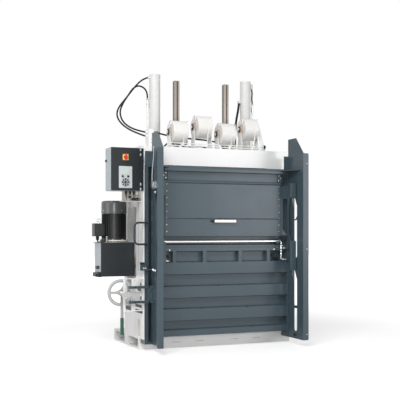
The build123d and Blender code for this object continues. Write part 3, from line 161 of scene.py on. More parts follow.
# Finish of each material slot, and of the nodes that differ from their slot
FINISH = {"white_paint": WHITE, "dark_paint": DARK, "housing_paint": CHARCOAL, "bare_steel": STEEL,
          "stainless": STAINLESS, "chrome": CHROME, "cast_grey": CAST, "black_plastic": BLACK,
          "guide_plastic": GUIDE, "keypad_grey": KEYPAD, "key_grey": KEY, "red_plastic": RED,
          "yellow_plastic": YELLOW, "grip_green": GREEN, "hose_rubber": RUBBER, "cable_grey": CABLE,
          "strap_white": STRAP, "zinc": ZINC}
SPECIAL = {"motor_body": MOTOR, "fan_cowl": COWL, "cabinet_box": PALE, "oil_tank": PALE,
           "terminal_box": MOTOR, "base_frame": BASE, "cylinder_left": BARREL, "cylinder_right": BARREL,
           "chamber_liner": LINER, "key_pad": KEYPAD, "door_handle": HANDLE, "spring_bolt": BRIGHT,
           "limit_switch": ZINC, "lock_spindle": CAST, "lock_head": CAST}
slots = {part["node"]: part["material_slot"] for part in frame["record"]["subparts"]}


# Soft edges
USUAL_EDGE = 1.8
EDGES = {"wing_": 4.0, "strap_reel": 0.6, "key": 0.4, "switch": 0.6, "limit": 0.8, "spring": 0.6, "fan": 0.6,
         "lever": 1.0, "cable": 0.6, "hydraulic": 0.6, "motor": 0.8, "lock": 1.2, "door_handle": 0.6,
         "locking": 0.8}


def edge_width(name):
    """Width of a CAD node's soft edges: the last row of EDGES that its name starts with, or the usual one."""
    widths = [width for start, width in EDGES.items() if name.startswith(start)]
    return widths[-1] if widths else USUAL_EDGE


def bevel(item, width, degrees=40.0):
    modifier = item.modifiers.new("bevel", "BEVEL")
    modifier.width = width * MM
    modifier.segments = 2
    modifier.limit_method = "ANGLE"
    modifier.angle_limit = math.radians(degrees)


def smooth_by_angle(mesh):
    """Smooth shading, with sharp edges where the faces meet at more than 32 degrees."""
    work = bmesh.new()
    work.from_mesh(mesh)
    limit = math.radians(32)
    for edge in work.edges:
        edge.smooth = len(edge.link_faces) == 2 and edge.calc_face_angle(0.0) < limit
    for face in work.faces:
        face.smooth = True
    work.to_mesh(mesh)
    work.free()


for name, item in nodes.items():
    item.data.materials.clear()
    item.data.materials.append(SPECIAL.get(name, FINISH[slots[name]]))
    item.data.shade_smooth()
    item.data.set_sharp_from_angle(angle=math.radians(30))
    bevel(item, edge_width(name), 34.0)


# Builders of pieces, in millimetres
AXES = {"x": Matrix.Rotation(math.pi / 2, 4, "Y"), "y": Matrix.Rotation(-math.pi / 2, 4, "X"),
        "z": Matrix.Identity(4)}
STEPS = {"x": Vector((1, 0, 0)), "y": Vector((0, 1, 0)), "z": Vector((0, 0, 1))}


def finish_piece(item, body, material, edge=0.0):
    item.data.materials.append(material)
    if edge:
        bevel(item, edge)
    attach(item, body)
    return item


def mesh_piece(name, work, body, material, edge=0.0, smooth=True):
    """Piece from a finished bmesh, which is freed."""
    mesh = bpy.data.meshes.new(name)
    work.to_mesh(mesh)
    work.free()
    mesh.transform(Matrix.Scale(MM, 4))
    if smooth:
        smooth_by_angle(mesh)
    item = bpy.data.objects.new(name, mesh)
    bpy.context.scene.collection.objects.link(item)
    return finish_piece(item, body, material, edge)


def around(count, start=0.0):
    """Angles in radians of evenly spaced places on a circle, the first at start degrees."""
    return [math.radians(start + 360 * index / count) for index in range(count)]


def add_box(work, x0, x1, y0, y1, z0, z1):
    place = Matrix.Translation(((x0 + x1) / 2, (y0 + y1) / 2, (z0 + z1) / 2))
    size = Matrix.Diagonal((x1 - x0, y1 - y0, z1 - z0, 1))
    bmesh.ops.create_cube(work, size=1, matrix=place @ size)


def add_rod(work, axis, centre, radius, length, sides=32):
    """Cylinder along an axis, with its middle at centre."""
    place = Matrix.Translation(centre) @ AXES[axis]
    bmesh.ops.create_cone(work, cap_ends=True, segments=sides, radius1=radius, radius2=radius, depth=length,
                          matrix=place)


def add_profile(work, axis, centre, points, sides=40):
    """Turned shape from (radius, height) points along an axis."""
    place = Matrix.Translation(centre) @ AXES[axis]
    rings = []
    for radius, height in points:
        ring = []
        for angle in around(sides):
            spot = place @ Vector((radius * math.cos(angle), radius * math.sin(angle), height))
            ring.append(work.verts.new(spot))
        rings.append(ring)
    for lower, upper in zip(rings, rings[1:]):
        for index in range(sides):
            after = (index + 1) % sides
            work.faces.new((lower[index], lower[after], upper[after], upper[index]))
    work.faces.new(list(reversed(rings[0])))
    work.faces.new(rings[-1])


def add_bolt(work, axis, centre, size=8.0, sign=1):
    """Hexagon head on a washer; sign says which way it points along the axis."""
    step = STEPS[axis] * sign
    centre = Vector(centre)
    add_rod(work, axis, centre + step * size * 0.10, size * 1.15, size * 0.2, 20)
    add_rod(work, axis, centre + step * size * 0.55, size * 0.95, size * 0.7, 6)


def add_outline(work, axis, points, low, high):
    """Prism from an outline. Points are (y, z) on x, (x, z) on y and (x, y) on z."""
    def spot(a, b, level):
        return {"x": (level, a, b), "y": (a, level, b), "z": (a, b, level)}[axis]
    lower = [work.verts.new(spot(a, b, low)) for a, b in points]
    upper = [work.verts.new(spot(a, b, high)) for a, b in points]
    work.faces.new(lower)
    work.faces.new(list(reversed(upper)))
    count = len(points)
    for index in range(count):
        after = (index + 1) % count
        work.faces.new((lower[index], lower[after], upper[after], upper[index]))
    bmesh.ops.recalc_face_normals(work, faces=work.faces)


def box_piece(name, boxes, body, material, edge=0.0):
    """Piece made of boxes, each given as x0, x1, y0, y1, z0, z1."""
    work = bmesh.new()
    for box in boxes:
        add_box(work, *box)
    return mesh_piece(name, work, body, material, edge)


def turned_piece(name, axis, centre, points, sides, body, material):
    """Piece made of one turned shape."""
    work = bmesh.new()
    add_profile(work, axis, centre, points, sides)
    return mesh_piece(name, work, body, material)


def tube(name, points, radius, body, material, slot_name, cyclic=False):
    """Smooth round tube along points, closed to a ring where cyclic is True."""
    curve = bpy.data.curves.new(name, "CURVE")
    curve.dimensions = "3D"
    curve.bevel_depth = radius * MM
    curve.bevel_resolution = 5
    curve.resolution_u = 12
    curve.use_fill_caps = True
    spline = curve.splines.new("NURBS")
    spline.points.add(len(points) - 1)
    for spot, point in zip(spline.points, points):
        spot.co = (point[0] * MM, point[1] * MM, point[2] * MM, 1)
    spline.order_u = 3
    spline.use_endpoint_u = not cyclic
    spline.use_cyclic_u = cyclic
    item = bpy.data.objects.new(name, curve)
    bpy.context.scene.collection.objects.link(item)
    return finish_piece(item, body, material)


def ring_tube(name, centre, radius, count, thickness, body, material, slot_name):
    """Closed round ring about the y axis, from count points."""
    x, y, z = centre
    points = [(x + radius * math.sin(angle), y, z + radius * math.cos(angle)) for angle in around(count)]
    return tube(name, points, thickness, body, material, slot_name, cyclic=True)


# Hoses and the switch cable, on the routes of the CAD model: points, diameter in mm and length in metres
ROUTES = {
    "hose_outer": (((-635, PRESS_Y, 2951), (-702, PRESS_Y, 2929), (-791, 450, 2839), (-886, 440, 2716),
                    (-983, 420, 2603), (-1026, 380, 2513), (-1008, 320, 2420), (-931, 260, 2341),
                    (-836, 205, 2291), (-772, 160, 2263)), 18, 1.044),
    "hose_inner": (((-644, PRESS_Y, 2715), (-646, 452, 2772), (-678, 444, 2823), (-733, 434, 2848),
                    (-789, 424, 2838), (-838, 415, 2797), (-888, 405, 2722), (-945, 388, 2643),
                    (-999, 352, 2536), (-985, 298, 2427), (-918, 246, 2358), (-835, 200, 2322),
                    (-772, 160, 2305)), 18, 1.013),
    "hose_right": (((640, PRESS_Y, 2907), (651, PRESS_Y, 2852), (640, PRESS_Y, 2792),
                    (651, PRESS_Y, 2736)), 18, 0.173),
    "hose_cross": (((482, 462, 2731), (477, 476, 2650), (464, 491, 2560), (454, 498, 2465), (449, 500, 2370),
                    (451, 500, 2260), (450, 500, 2156)), 26, 0.579),
    "switch_cable": (((-806, -222, 2098), (-806, -222, 2020), (-811, -206, 1930), (-814, -192, 1842),
                      (-814, -192, 1752)), 8, 0.348)}
for name, (route, diameter, length) in ROUTES.items():
    is_cable = name == "switch_cable"
    finish = ("door", CABLE, "cable_grey") if is_cable else ("frame", RUBBER, "hose_rubber")
    item = tube(name + "_line", route, diameter / 2, *finish)
    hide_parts(name)


# Power pack and cabinet
def tank_details():
    """Dark cover and lid of the pale tank, with screws, drain block, sight glass and filler cap."""
    low, high = [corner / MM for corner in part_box("oil_tank")]
    cover = (low.x + 5, high.x - 1, low.y - 1, low.y + 4.5, low.z, TANK_TOP - 0.5)
    box_piece("tank_front_cover", [cover], "frame", CHARCOAL, 1.5)
    lid = (low.x + 2, high.x - 2, low.y + 2, high.y - 2, TANK_TOP - 1, TANK_TOP + 1.5)
    box_piece("tank_lid_plate", [lid], "frame", CHARCOAL, 0.5)
    work = bmesh.new()
    for x in (low.x + 18, high.x - 18):
        for z in (low.z + 16, TANK_TOP - 30):
            add_rod(work, "y", (x, low.y - 1.5, z), 5, 3, 20)
    mesh_piece("tank_cover_screws", work, "frame", CHARCOAL, 0.5)
    work = bmesh.new()
    add_box(work, low.x - 8, low.x + 30, 208, 318, low.z - 8, low.z + 44)
    add_box(work, low.x - 5, low.x + 30, 322, 446, low.z - 8, low.z + 36)
    add_rod(work, "x", (low.x - 10, 270, low.z + 14), 13, 26, 20)
    mesh_piece("tank_drain_block", work, "frame", BLACK, 4)
    glass = (low.x - 3, low.x + 24, 282, 348, 840, 874)
    box_piece("tank_sight_glass", [glass], "frame", DARK_INNER, 3)
    points = [(26, 0), (26, 6), (30, 8), (30, 28), (26, 32)]
    turned_piece("tank_filler_cap", "z", (low.x + 49, low.y + 49, TANK_TOP), points, 24, "frame", BLACK)


def cabinet_details():
    """Dark strip beside the cabinet door, and the bright caps of its hinges."""
    strip = (-940, -893, -156.5, -153.5, 1659, 2094)
    box_piece("cabinet_side_strip", [strip], "frame", CHARCOAL, 1)
    points = [(3, -3), (6.4, -2), (6.4, 2), (3, 3)]
    work = bmesh.new()
    for z in (1700, 2053):
        for sign in (-1, 1):
            add_profile(work, "z", (*CABINET_HINGE, z + 35 * sign), points, 16)
    mesh_piece("cabinet_hinge_caps", work, "frame", CHROME)


def petal(work, centre, degrees, spread, inner, outer, levels):
    """Key in the shape of a ring segment, on the face of the four-way pad."""
    steps = 6
    angles = [math.radians(degrees - spread + 2 * spread * index / steps) for index in range(steps + 1)]
    points = [(centre[0] + outer * math.sin(angle), centre[1] + outer * math.cos(angle)) for angle in angles]
    angles.reverse()
    points += [(centre[0] + inner * math.sin(angle), centre[1] + inner * math.cos(angle)) for angle in angles]
    add_outline(work, "y", points, *levels)


def keypad_details():
    """Display glass, screws and key faces of the keypad."""
    glass = (-1134, -1052, -168.2, -166.2, 1824, 1861)
    box_piece("display_glass", [glass], "cabinet_door", LCD, 0.6)
    work = bmesh.new()
    for x in (-1154, -1026):
        for z in (1689, 1899):
            add_rod(work, "y", (x, -165.6, z), 2.6, 1.6, 16)
    mesh_piece("keypad_screws", work, "cabinet_door", ZINC)
    work = bmesh.new()
    for index in range(8):
        spread = 18 if index % 2 == 0 else 14
        petal(work, PAD_CENTRE, 45 * index, spread, 16.5, 42, (-171.6, -169.4))
    mesh_piece("pad_petals", work, "key_pad", KEY, 0.4, smooth=False)
    for name, (x, z), radius in (("key_left", (-1120, 1801), 8.5), ("key_right", (-1062, 1801), 8.5),
                                 ("key_centre", PAD_CENTRE, 9.5)):
        work = bmesh.new()
        add_rod(work, "y", (x, -170.2, z), radius, 1.4, 28)
        mesh_piece(name + "_top", work, name, BLACK, 0.5)


def switch_details():
    """Ring, lever and screws of the main switch."""
    x, z = SWITCH_CENTRE
    work = bmesh.new()
    add_rod(work, "y", (x, -165.5, z), 26, 2.5, 40)
    mesh_piece("switch_ring", work, "cabinet_door", YELLOW, 0.6)
    work = bmesh.new()
    outline = [(x - 9, z - 29), (x + 9, z - 29), (x + 7, z + 32), (x - 7, z + 32)]
    add_outline(work, "y", outline, -197.5, -182)
    mesh_piece("switch_lever", work, "switch_knob", RED, 2.5)
    work = bmesh.new()
    for across in (x - 24, x + 24):
        for level in (z - 24, z + 24):
            add_rod(work, "y", (across, -165.4, level), 2.4, 1.6, 14)
    mesh_piece("switch_screws", work, "cabinet_door", ZINC)


def under_cabinet():
    """Bracket with a valve and a union, and the short cables that leave the glands of the cabinet."""
    x, z = -1018, 1594
    plates = [(-1086, -1012, -22, -17, 1556, 1656), (-1092, -893, -62, 58, 1549, 1555)]
    box_piece("valve_bracket", plates, "frame", WARM, 1.5)
    work = bmesh.new()
    add_profile(work, "y", (x, -46, z), [(14, -26), (24, -24), (24, 12), (18, 14), (18, 24)], 28)
    add_box(work, x - 22, x + 22, -40, -23, 1555, 1600)
    mesh_piece("valve_body", work, "frame", CAST, 1)
    points = [(9, -4), (15, -3), (15, 3), (9, 4)]
    turned_piece("valve_plug", "y", (x, -74, z), points, 24, "frame", BLACK)
    work = bmesh.new()
    add_rod(work, "x", (-950, -66, 1606), 9, 34, 6)
    add_rod(work, "x", (-921, -66, 1606), 6.5, 26, 20)
    mesh_piece("copper_union", work, "frame", BRASS, 0.8)
    for index, x in enumerate((-1050, -1008, -966)):
        low = 1578 - 9 * index
        route = [(x, -54, 1631), (x, -54, 1604), (x + 4, -52, low + 14), (x + 26, -40, low),
                 (x + 60, -12, low + 2), (-893, 30, low + 12)]
        tube(f"cabinet_cable_{index + 1}", route, 5, "frame", BLACK, "black_plastic")


def motor_details():
    """Foot bolts, lugs, flange ring, and the rim and screws of the fan cowl."""
    x, y = MOTOR_AXIS
    work = bmesh.new()
    for angle in around(8, 22.5):
        add_bolt(work, "z", (x + 139 * math.cos(angle), y + 139 * math.sin(angle), 1149.5), 8)
    mesh_piece("motor_foot_bolts", work, "frame", CAST)
    work = bmesh.new()
    lug = Matrix.Translation((128, 0, 1172)) @ Matrix.Diagonal((16, 20, 22, 1))
    for angle in around(8):
        spot = Matrix.Translation((x, y, 0)) @ Matrix.Rotation(angle, 4, "Z")
        bmesh.ops.create_cube(work, size=1, matrix=spot @ lug)
    mesh_piece("motor_lugs", work, "frame", MOTOR, 2)
    points = [(134, -11), (137.5, -9), (137.5, -3), (134.8, 0)]
    turned_piece("cowl_rim", "z", (x, y, 1450), points, 72, "frame", COWL)
    work = bmesh.new()
    for angle in around(4, 20):
        middle = (x + 135.5 * math.cos(angle), y + 135.5 * math.sin(angle), 1462)
        place = Matrix.Translation(middle) @ Matrix.Rotation(angle, 4, "Z") @ AXES["x"]
        bmesh.ops.create_cone(work, cap_ends=True, segments=6, radius1=5.5, radius2=5.5, depth=5,
                              matrix=place)
    mesh_piece("cowl_screws", work, "frame", ZINC)
    work = bmesh.new()
    add_rod(work, "z", (x, y, 1143), 150, 13, 72)
    add_rod(work, "z", (x, y, 1128), 138, 9, 72)
    mesh_piece("motor_flange_ring", work, "frame", WARM, 2)


def terminal_details():
    """Lifting eye, lid, gland and cable of the terminal box, and the conduit on the tank."""
    y = MOTOR_AXIS[1]
    eye_x, gland_x = -1245, -1255
    ring_tube("lifting_eye", (eye_x, y, 1360), 17, 16, 5.6, "frame", BRIGHT, "zinc")
    work = bmesh.new()
    add_rod(work, "z", (eye_x, y, 1333), 9.6, 16, 24)
    mesh_piece("lifting_eye_foot", work, "frame", BRIGHT, 1)
    lid = (-1300.2, -1296, y - 50, y + 50, 1190, 1324)
    box_piece("terminal_lid", [lid], "frame", MOTOR, 3)
    work = bmesh.new()
    for across in (y - 41, y + 41):
        for level in (1200, 1314):
            add_rod(work, "x", (-1299.6, across, level), 4.5, 2.4, 18)
    mesh_piece("terminal_screws", work, "frame", ZINC)
    points = [(9, -14), (16, -12), (16, 2), (19, 4), (19, 18), (14, 26)]
    turned_piece("terminal_gland", "z", (gland_x, y, 1160), points, 6, "frame", BLACK)
    route = [(gland_x, y, 1150), (gland_x, y, 1136), (-1240, 330, 1127), (-1205, 400, 1127),
             (-1150, 452, 1128)]
    tube("motor_cable", route, 7, "frame", BLACK, "black_plastic")
    points = [(15, 0), (15, 22), (10, 26), (10, 52), (13, 56), (13, 64)]
    turned_piece("tank_conduit", "z", (-1172, 230, TANK_TOP + 1), points, 24, "frame", CAST)


# Beam, reels and press
def coil_outline():
    """Section of a wound band, with a shallow step between the layers at its rim."""
    flank, edge, layers = 82.5, 79, 11
    step = 2 * edge / layers
    points = [(52, -flank), (118, -flank), (121.5, -edge)]
    for row in range(layers):
        start = row * step - edge
        points += [(121.8, start + 1.2), (121.8, start + step - 1.2), (120.4, start + step)]
    return points + [(118, flank), (52, flank)]


def reel_details():
    """Wound bands and their cores, and the fittings on both sides of each reel."""
    core = [(38.2, -86), (51, -86), (51.8, -85), (51.8, 85), (51, 86), (38.2, 86)]
    bush = [(12, -2), (37.5, -2), (37.5, 2), (12, 2)]
    knob = [(12, -7), (30, -6), (32, -3), (32, 3), (24, 8), (12, 9)]
    washer = [(24, -2.5), (43, -2), (43, 2), (24, 2.5)]
    fittings = (("reel_bush", 84.5, bush, 36, BLACK, 0.6), ("reel_knobs", 111, knob, 10, BLACK, 0.0),
                ("reel_washers", 102.5, washer, 36, CARD, 0.0))
    for index, (x, z) in enumerate(REELS):
        number = index + 1
        body = f"reel_{number}"
        centre = (x, REEL_Y, z)
        coil = turned_piece(f"wound_strap_{number}", "x", centre, coil_outline(), 56, body, STRAP)
        turned_piece(f"reel_core_{number}", "x", centre, core, 40, body, CARD)
        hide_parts(f"strap_reel_{number}")
        for word, offset, points, sides, material, edge in fittings:
            work = bmesh.new()
            for side in (-1, 1):
                add_profile(work, "x", (x + side * offset, REEL_Y, z), points, sides)
            mesh_piece(f"{word}_{number}", work, "frame", material, edge)
        for side, word in SIDES:
            cheek = x + side * 98.5
            top = z + 24
            route = [(cheek, 96, top), (cheek, 92, top + 60), (cheek, 78, top + 92), (cheek, 52, top + 96),
                     (cheek, 38, top + 72), (cheek, 34, top + 40)]
            tube(f"reel_hook_{number}_{word}", route, 3, "frame", ZINC, "zinc")
        strap_end(number, x, z)


def strap_end(number, x, z):
    """Loose end of the band, from the reel down to the guide rods."""
    work = bmesh.new()
    outline = [(REEL_Y - 121, z), (REEL_Y - 119, z - 30), (12, 2196), (8, 2180), (8, 2168), (6.8, 2168),
               (6.8, 2180), (10.8, 2196), (REEL_Y - 120.2, z - 30), (REEL_Y - 122.2, z)]
    add_outline(work, "x", outline, x + 24, x + 37)
    mesh_piece(f"strap_end_{number}", work, "frame", STRAP, smooth=False)


def beam_hoses():
    """Hoses that lie on the beam behind the reels, with the nuts at their ends."""
    routes = ((HOSE_BRACKET, (-720, 160, 2306), (-694, 184, 2318), (-636, 232, 2320), (-540, 250, 2300),
               (-400, 258, 2279), (-229, 258, 2268), (-80, 252, 2262), (60, 240, 2250), (150, 232, 2216),
               (196, 228, 2170), (204, 226, 2146)),
              ((-560, 160, 2150), (-520, 168, 2200), (-450, 176, 2216), (-370, 182, 2190), (-300, 186, 2164),
               (-210, 190, 2166), (-139, 194, 2182), (-60, 198, 2176), (-20, 202, 2148)))
    for index, route in enumerate(routes):
        tube(f"beam_hose_{index + 1}", route, 9, "frame", RUBBER, "hose_rubber")
    work = bmesh.new()
    for end in (routes[0][-1], routes[1][0], routes[1][-1]):
        add_rod(work, "z", (end[0], end[1], BEAM_TOP + 8), 15, 16, 6)
    x, y, z = HOSE_BRACKET
    add_rod(work, "x", (x + 4, y, z), 15, 16, 6)
    mesh_piece("beam_hose_nuts", work, "frame", ZINC, 1)


def stand_details():
    """Slanting stay at the right end of the reel stands, and two clamping knobs on the beam."""
    work = bmesh.new()
    outline = [(524, 2400), (544, 2404), (556, 2384), (620, 2160), (620, BEAM_TOP), (568, BEAM_TOP)]
    add_outline(work, "y", outline, 62, 68)
    mesh_piece("stand_stay", work, "frame", WHITE, 1)
    work = bmesh.new()
    add_profile(work, "y", (600, 58, 2186), [(14, -10), (22, -8), (22, 4), (14, 4)], 24)
    add_profile(work, "y", (-500, 26, 2176), [(12, -10), (20, -8), (20, 4), (12, 4)], 24)
    mesh_piece("stand_knobs", work, "frame", BLACK)
    tab = (-516, -484, 30, 36, BEAM_TOP, 2200)
    box_piece("stand_knob_tab", [tab], "frame", WHITE, 1)


def cylinder_details():
    """Caps, flange bolts and brass rings of the two cylinders."""
    cap = [(60, -30), (63.5, -28), (63.5, -4), (60, 0.8), (20, 0.8)]
    ring = [(62, -7), (70, -6), (70, 6), (62, 7)]
    for side, word in SIDES:
        x = side * CYLINDER_X
        # The cap takes the barrels' white with painted shade
        turned_piece(f"cylinder_cap_{word}", "z", (x, PRESS_Y, 2984), cap, 48, "frame", BARREL)
        work = bmesh.new()
        for angle in around(8, 22.5):
            add_bolt(work, "z", (x + 82 * math.cos(angle), PRESS_Y + 82 * math.sin(angle), 2165), 9)
        mesh_piece(f"cylinder_bolts_{word}", work, "frame", ZINC)
        turned_piece(f"cylinder_ring_{word}", "z", (x, PRESS_Y, 2232), ring, 48, "frame", BRASS)


def pole_details():
    """Top plates and shaded stripes of the two square guide poles, and the bolts of their guides."""
    half, skin = 30, 0.4
    plate = half - 0.5
    low, high = 1935, 2924
    for side, word in SIDES:
        x = side * POLE_X
        top = (x - plate, x + plate, PRESS_Y - plate, PRESS_Y + plate, 2925.5, 2934.5)
        box_piece(f"pole_plate_{word}", [top], "platen", STAINLESS, 1)
        stripes = [(x - 5, x + 11, PRESS_Y - half - skin, PRESS_Y - half + skin, low, high),
                   (x - half - skin, x - half + skin, PRESS_Y - 10, PRESS_Y + 10, low, high)]
        box_piece(f"pole_stripe_{word}", stripes, "platen", STRIPE)
        work = bmesh.new()
        for dx in (-50, 50):
            for dy in (-50, 50):
                add_bolt(work, "z", (x + dx, PRESS_Y + dy, 2155), 8)
        mesh_piece(f"pole_guide_bolts_{word}", work, "frame", ZINC)


def hose_fittings():
    """Nuts at the upper ports of the cylinders, and red marker rings on the ends of the hoses."""
    work = bmesh.new()
    add_rod(work, "x", (-626, PRESS_Y, 2951), 13, 26, 6)
    add_rod(work, "z", (640, PRESS_Y, 2925), 13, 22, 6)
    mesh_piece("port_nuts", work, "frame", ZINC)
    work = bmesh.new()
    for axis, x, z, radius, length in (("x", -645, 2949, 11.5, 10), ("z", -644, 2703, 13, 9),
                                       ("z", 640, 2899, 11.5, 9), ("z", 651, 2724, 13, 9)):
        add_rod(work, axis, (x, PRESS_Y, z), radius, length, 28)
    mesh_piece("hose_marker_rings", work, "frame", RED_RING)


# Door, flap and wings
def door_band():
    """Bolts and seam of the band across the door, below the flap."""
    work = bmesh.new()
    for x in (-608, 619):
        add_bolt(work, "y", (x, DOOR_FRONT, 1045), 7, -1)
    for x in (-660, 660):
        for z in (1068, 1110):
            add_bolt(work, "y", (x, DOOR_FRONT, z), 4, -1)
    mesh_piece("door_band_bolts", work, "door", BRIGHT)
    seam = (-POST_X, POST_X, DOOR_FRONT - 0.8, DOOR_FRONT + 0.5, 1071.5, 1074.5)
    box_piece("door_band_seam", [seam], "door", DARK_INNER)


def head_details():
    """Folded lip over the flap at the head of the door, and corner plates beside the flap's upper edge."""
    root, face = DOOR_FRONT + 1, -183
    work = bmesh.new()
    outline = [(root, 1903), (-224, 1903), (-229, 1898), (-229, 1869), (-225, 1869), (-225, 1897),
               (-223, 1899), (root, 1899)]
    add_outline(work, "x", outline, -690, 690)
    mesh_piece("head_lip", work, "door", DARK, 1)
    plates = [(*sorted((side * 647, side * 700)), face, root, 1780, 1869) for side in (-1, 1)]
    box_piece("head_corner_plates", plates, "door", DARK, 1)
    work = bmesh.new()
    for side in (-1, 1):
        for x, z in ((660, 1850), (686, 1824), (660, 1798)):
            add_bolt(work, "y", (side * x, face, z), 4, -1)
    mesh_piece("head_corner_screws", work, "door", ZINC)


def strap_slots():
    """Black boxes of painted shade in the mouths of the narrow slots for the strapping bands, in the tops of
    the ribs.
    """
    spots = ((-352, 915), (-141, 915), (188, 661), (-52, 661), (-240, 425), (290, 425), (-52, 206),
             (350, 206))
    mouths = [(x - 16, x + 16, DOOR_FRONT - 0.6, DOOR_FRONT + 10, z - 3, z + 2.5) for x, z in spots]
    box_piece("strap_slot_painted_shade", mouths, "door", BLACK)


def star_knob(work, x, y, z, radius):
    """Clamping knob with lobes round its rim, on a stem that points back to the floor of the pocket."""
    lobes, half, back = 5, 9, -95
    points = []
    for angle in around(lobes * 8):
        reach = radius * (0.82 + 0.18 * math.cos(lobes * angle))
        points.append((x + reach * math.cos(angle), z + reach * math.sin(angle)))
    add_outline(work, "y", points, y - half, y + half)
    add_rod(work, "y", (x, y - half - 2, z), radius * 0.4, 6, 20)
    add_rod(work, "y", (x, (y + half + back) / 2, z), radius * 0.3, back - y - half, 16)


def crank_pins():
    """Pins and blocks beside the ends of the crank rods, and clamping knobs in the door's outer pockets."""
    rods = ((747, 6, 66, 20), (726, 11, 7, 24), (-628, 6, 40, 20), (-640, 11, 7, 24))
    work = bmesh.new()
    for x, radius, length, sides in rods:
        add_rod(work, "x", (x, DOOR_FRONT - 10, 932), radius, length, sides)
    mesh_piece("crank_pins", work, "door", BRIGHT, 0.8)
    blocks = [(760, 781, -176, DOOR_FRONT, 918, 946), (-618, -606, -172, DOOR_FRONT, 920, 944)]
    box_piece("crank_pin_blocks", blocks, "door", DARK, 1)
    work = bmesh.new()
    for x, z in ((608, 976), (660, 944), (-606, 976), (-645, 950)):
        star_knob(work, x, -132, z, 22)
    mesh_piece("clamp_knobs", work, "door", BLACK, 1)


def flap_details():
    """Upper sheet, seam, weld marks, edge rivets and handle fittings of the loading flap."""
    upper_front, root, half_w = FLAP_FRONT - 3, FLAP_FRONT + 0.5, 672
    sheet = (-half_w, half_w, upper_front, root, 1381, 1743)
    box_piece("flap_upper_sheet", [sheet], "flap", DARK, 1)
    seam = (-half_w, half_w, upper_front - 1.2, root, 1371, 1379)
    box_piece("flap_seam", [seam], "flap", DARK_INNER, 0.8)
    clips = [(x - 40, x + 40, upper_front - 2, FLAP_FRONT - 1, 1372, 1378) for x in (-300, 280)]
    box_piece("flap_seam_clips", clips, "flap", BLACK)
    work = bmesh.new()
    for front, places, levels in ((upper_front, (-423, -141, 141, 423), (1445, 1560, 1705)),
                                  (FLAP_FRONT, (-420, -250, 250, 420), (1230, 1320))):
        for x in places:
            for z in levels:
                add_profile(work, "y", (x, front, z), [(5, 0.4), (4.6, -0.6), (1.5, -1.1)], 14)
    mesh_piece("flap_weld_marks", work, "flap", DARK_INNER)
    work = bmesh.new()
    for side in (-1, 1):
        for z in range(1240, 1740, 70):
            add_bolt(work, "y", (side * 655, FLAP_FRONT, z), 4, -1)
    mesh_piece("flap_edge_rivets", work, "flap", ZINC)
    work = bmesh.new()
    for x in (-80, 40):
        add_profile(work, "y", (x, -226.5, 1350), [(4.5, 1), (5, 0), (5, -2), (2.5, -3)], 18)
    mesh_piece("flap_handle_screws", work, "flap", ZINC)
    catches = [(-150, -128, -228, FLAP_FRONT, 1338, 1362), (-60, -48, -214, FLAP_FRONT, 1362, 1380),
               (8, 20, -214, FLAP_FRONT, 1362, 1380)]
    box_piece("flap_handle_catch", catches, "flap", BLACK, 2)


def wing_details():
    """Nuts and pads of the flap's guide pins, and the buffers and catch on the wings."""
    work = bmesh.new()
    for z in (840, 1640):
        for side in (-1, 1):
            add_bolt(work, "x", (side * 813, -293, z), 11, side)
    mesh_piece("guide_pin_nuts", work, "flap", BRIGHT)
    work = bmesh.new()
    for side in (-1, 1):
        for z0, z1 in ((1610, 1764), (820, 1135)):
            for z in (z0 + 30, z1 - 30):
                add_bolt(work, "y", (side * 748, -345, z), 5, -1)
    mesh_piece("guide_pad_bolts", work, "flap", DARK)
    for side, word in SIDES:
        work = bmesh.new()
        add_rod(work, "x", (side * 788, -329, 118), 10, 14, 28)
        add_profile(work, "x", (side * 776, -329, 118), [(14, -5), (17, -4), (17, 4), (14, 5)], 28)
        mesh_piece(f"stop_buffer_{word}", work, "door", BLACK)
    work = bmesh.new()
    outline = [(-352, 1408), (-340, 1412), (-306, 1376), (-284, 1372), (-284, 1360), (-312, 1362)]
    add_outline(work, "x", outline, 802, 810)
    mesh_piece("slot_catch", work, "door", BLACK, 1.5)


def weld_beads():
    """Fillet welds between the ribs and the posts, and along the wing feet."""
    work = bmesh.new()
    for side in (-1, 1):
        for z0, z1 in ((145, 206), (305, 425), (543, 661), (790, 915), (1032, 1096)):
            add_rod(work, "z", (side * (POST_X - 1), DOOR_FRONT - 1, (z0 + z1) / 2), 3, z1 - z0 - 6, 10)
    mesh_piece("rib_welds", work, "door", DARK)
    work = bmesh.new()
    for side in (-1, 1):
        for z in range(180, 1900, 150):
            add_rod(work, "z", (side * 802.5, DOOR_FRONT - 1.5, z), 2.6, 60, 10)
    mesh_piece("wing_welds", work, "door", DARK)


